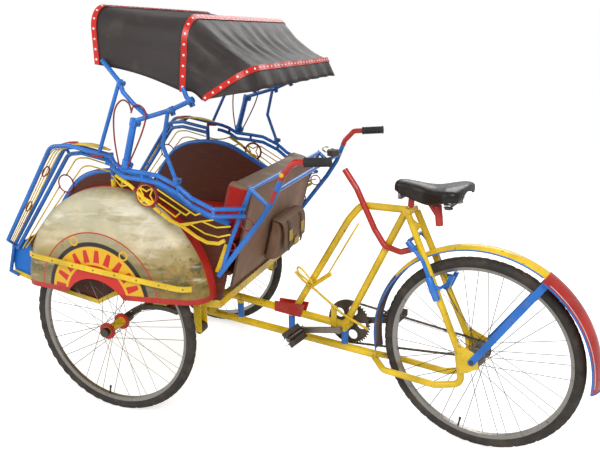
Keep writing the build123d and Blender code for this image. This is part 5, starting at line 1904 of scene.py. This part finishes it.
# %% Bell loop
loop_out, loop_rise, loop_long, loop_high = 0.022, 0.012, 0.026, 0.014
work = bmesh.new()
low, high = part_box("bell")
middle = (low + high) / 2
loop = []
for a in around(26):
    along, up = loop_long * math.cos(a), loop_high * math.sin(a)
    loop.append(middle + Vector((-loop_out - along, -up, loop_rise + up)))
tube(work, loop, 0.0042, sides=10, closed=True, flat=0.6)
part("bell_loop", work, "bright_plate")

# %% [markdown]
# Block pedals: two end plates on a sleeve, with two ribbed rubber blocks held between them by bolts.
# The left one is turned on its spindle as in the photograph, and the right one lies level.

# %% Block pedals


def sleeve(work, centre, radius, bore, length, along):
    """A short pipe: two open cylinders joined at both ends."""
    lump = bmesh.new()
    for size in (radius, bore):
        bmesh.ops.create_cone(lump, cap_ends=False, segments=24, radius1=size, radius2=size, depth=length)
    for end in (-1, 1):
        bmesh.ops.bridge_loops(lump, edges=[e for e in lump.edges if all(v.co.z * end > 0 for v in e.verts)])
    lump.transform(standing(centre, along))
    merge(work, lump)


plate_half, plate_thick, pedal_high = 0.033, 0.003, 0.026
sleeve_radius, sleeve_bore, pedal_long = 0.011, 0.0064, 0.092
rubber_wide, rubber_middle = 0.0205, 0.0222
rib_pitch, ribs_a_block, rib_wide, rib_stand = 0.009, 9, 0.004, 0.0012
bolt_radius, bolt_high = 0.0045, 0.003
for side_name, out in both_sides:
    low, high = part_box(f"pedal_{side_name}")
    middle = (low + high) / 2
    level = Matrix.Rotation(-steer_turn, 3, "Z")
    face = level @ Matrix.Rotation(-math.radians(pedal_turns[side_name]), 3, "Y")
    cage, work = bmesh.new(), bmesh.new()
    sleeve(cage, middle, sleeve_radius, sleeve_bore, pedal_long, face @ rightward)
    for side in (-1, 1):
        for end in (-1, 1):
            along, out_by = end * (pedal_long - plate_thick) / 2, side * (sleeve_radius + plate_half) / 2
            spot = middle + face @ Vector((out_by, along, 0))
            block(cage, spot, (plate_half - sleeve_radius, plate_thick, pedal_high), face, 0.0008)
        spot = middle + face @ Vector((side * rubber_middle, out * (pedal_long / 2 + 0.001), 0))
        drum(cage, spot, bolt_radius, bolt_high, face @ rightward, sides=6)
        spot = middle + face @ Vector((side * rubber_middle, 0, 0))
        block(work, spot, (rubber_wide, pedal_long - 2 * plate_thick, pedal_high - 0.002), face, 0.003)
        for rib in range(ribs_a_block):
            place = spot + face @ Vector((0, rib_pitch * (rib - (ribs_a_block - 1) / 2), 0))
            block(work, place, (rubber_wide + rib_stand, rib_wide, pedal_high), face, 0.001)
    cage = part(f"pedal_cage_{side_name}", cage, "dark_steel", f"{side_name}_pedal")
    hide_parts(f"pedal_{side_name}")
    part(f"pedal_rubber_{side_name}", work, "pedal_rubber", f"{side_name}_pedal")

# %% [markdown]
# Flat plates come last: a red one let into each push tube's outer face, and a yellow strip down the
# rear of each side panel. Both are cut from sheet, so each is one thin block.

# %% Flat plates
# Name, finish, slot, place, size, lean in degrees
flat_plates = [
    ("push_insert", "red_enamel", "red_paint", (0.6602, 0.4005, 0.9050), (0.046, 0.006, 0.0125), 66.2),
    ("panel_strip", "yellow_enamel", "yellow_paint", (0.4460, 0.3822, 0.6550), (0.120, 0.004, 0.020), 68.0),
]
for side_name, side in both_sides:
    for name, finish, slot, (x, y, z), size, lean_by in flat_plates:
        work = bmesh.new()
        block(work, cab(x, side * y, z), size, Matrix.Rotation(-math.radians(lean_by), 3, "Y"), 0.001)
        part(f"{name}_{side_name}", work, finish)
print("fittings:", len(fittings))
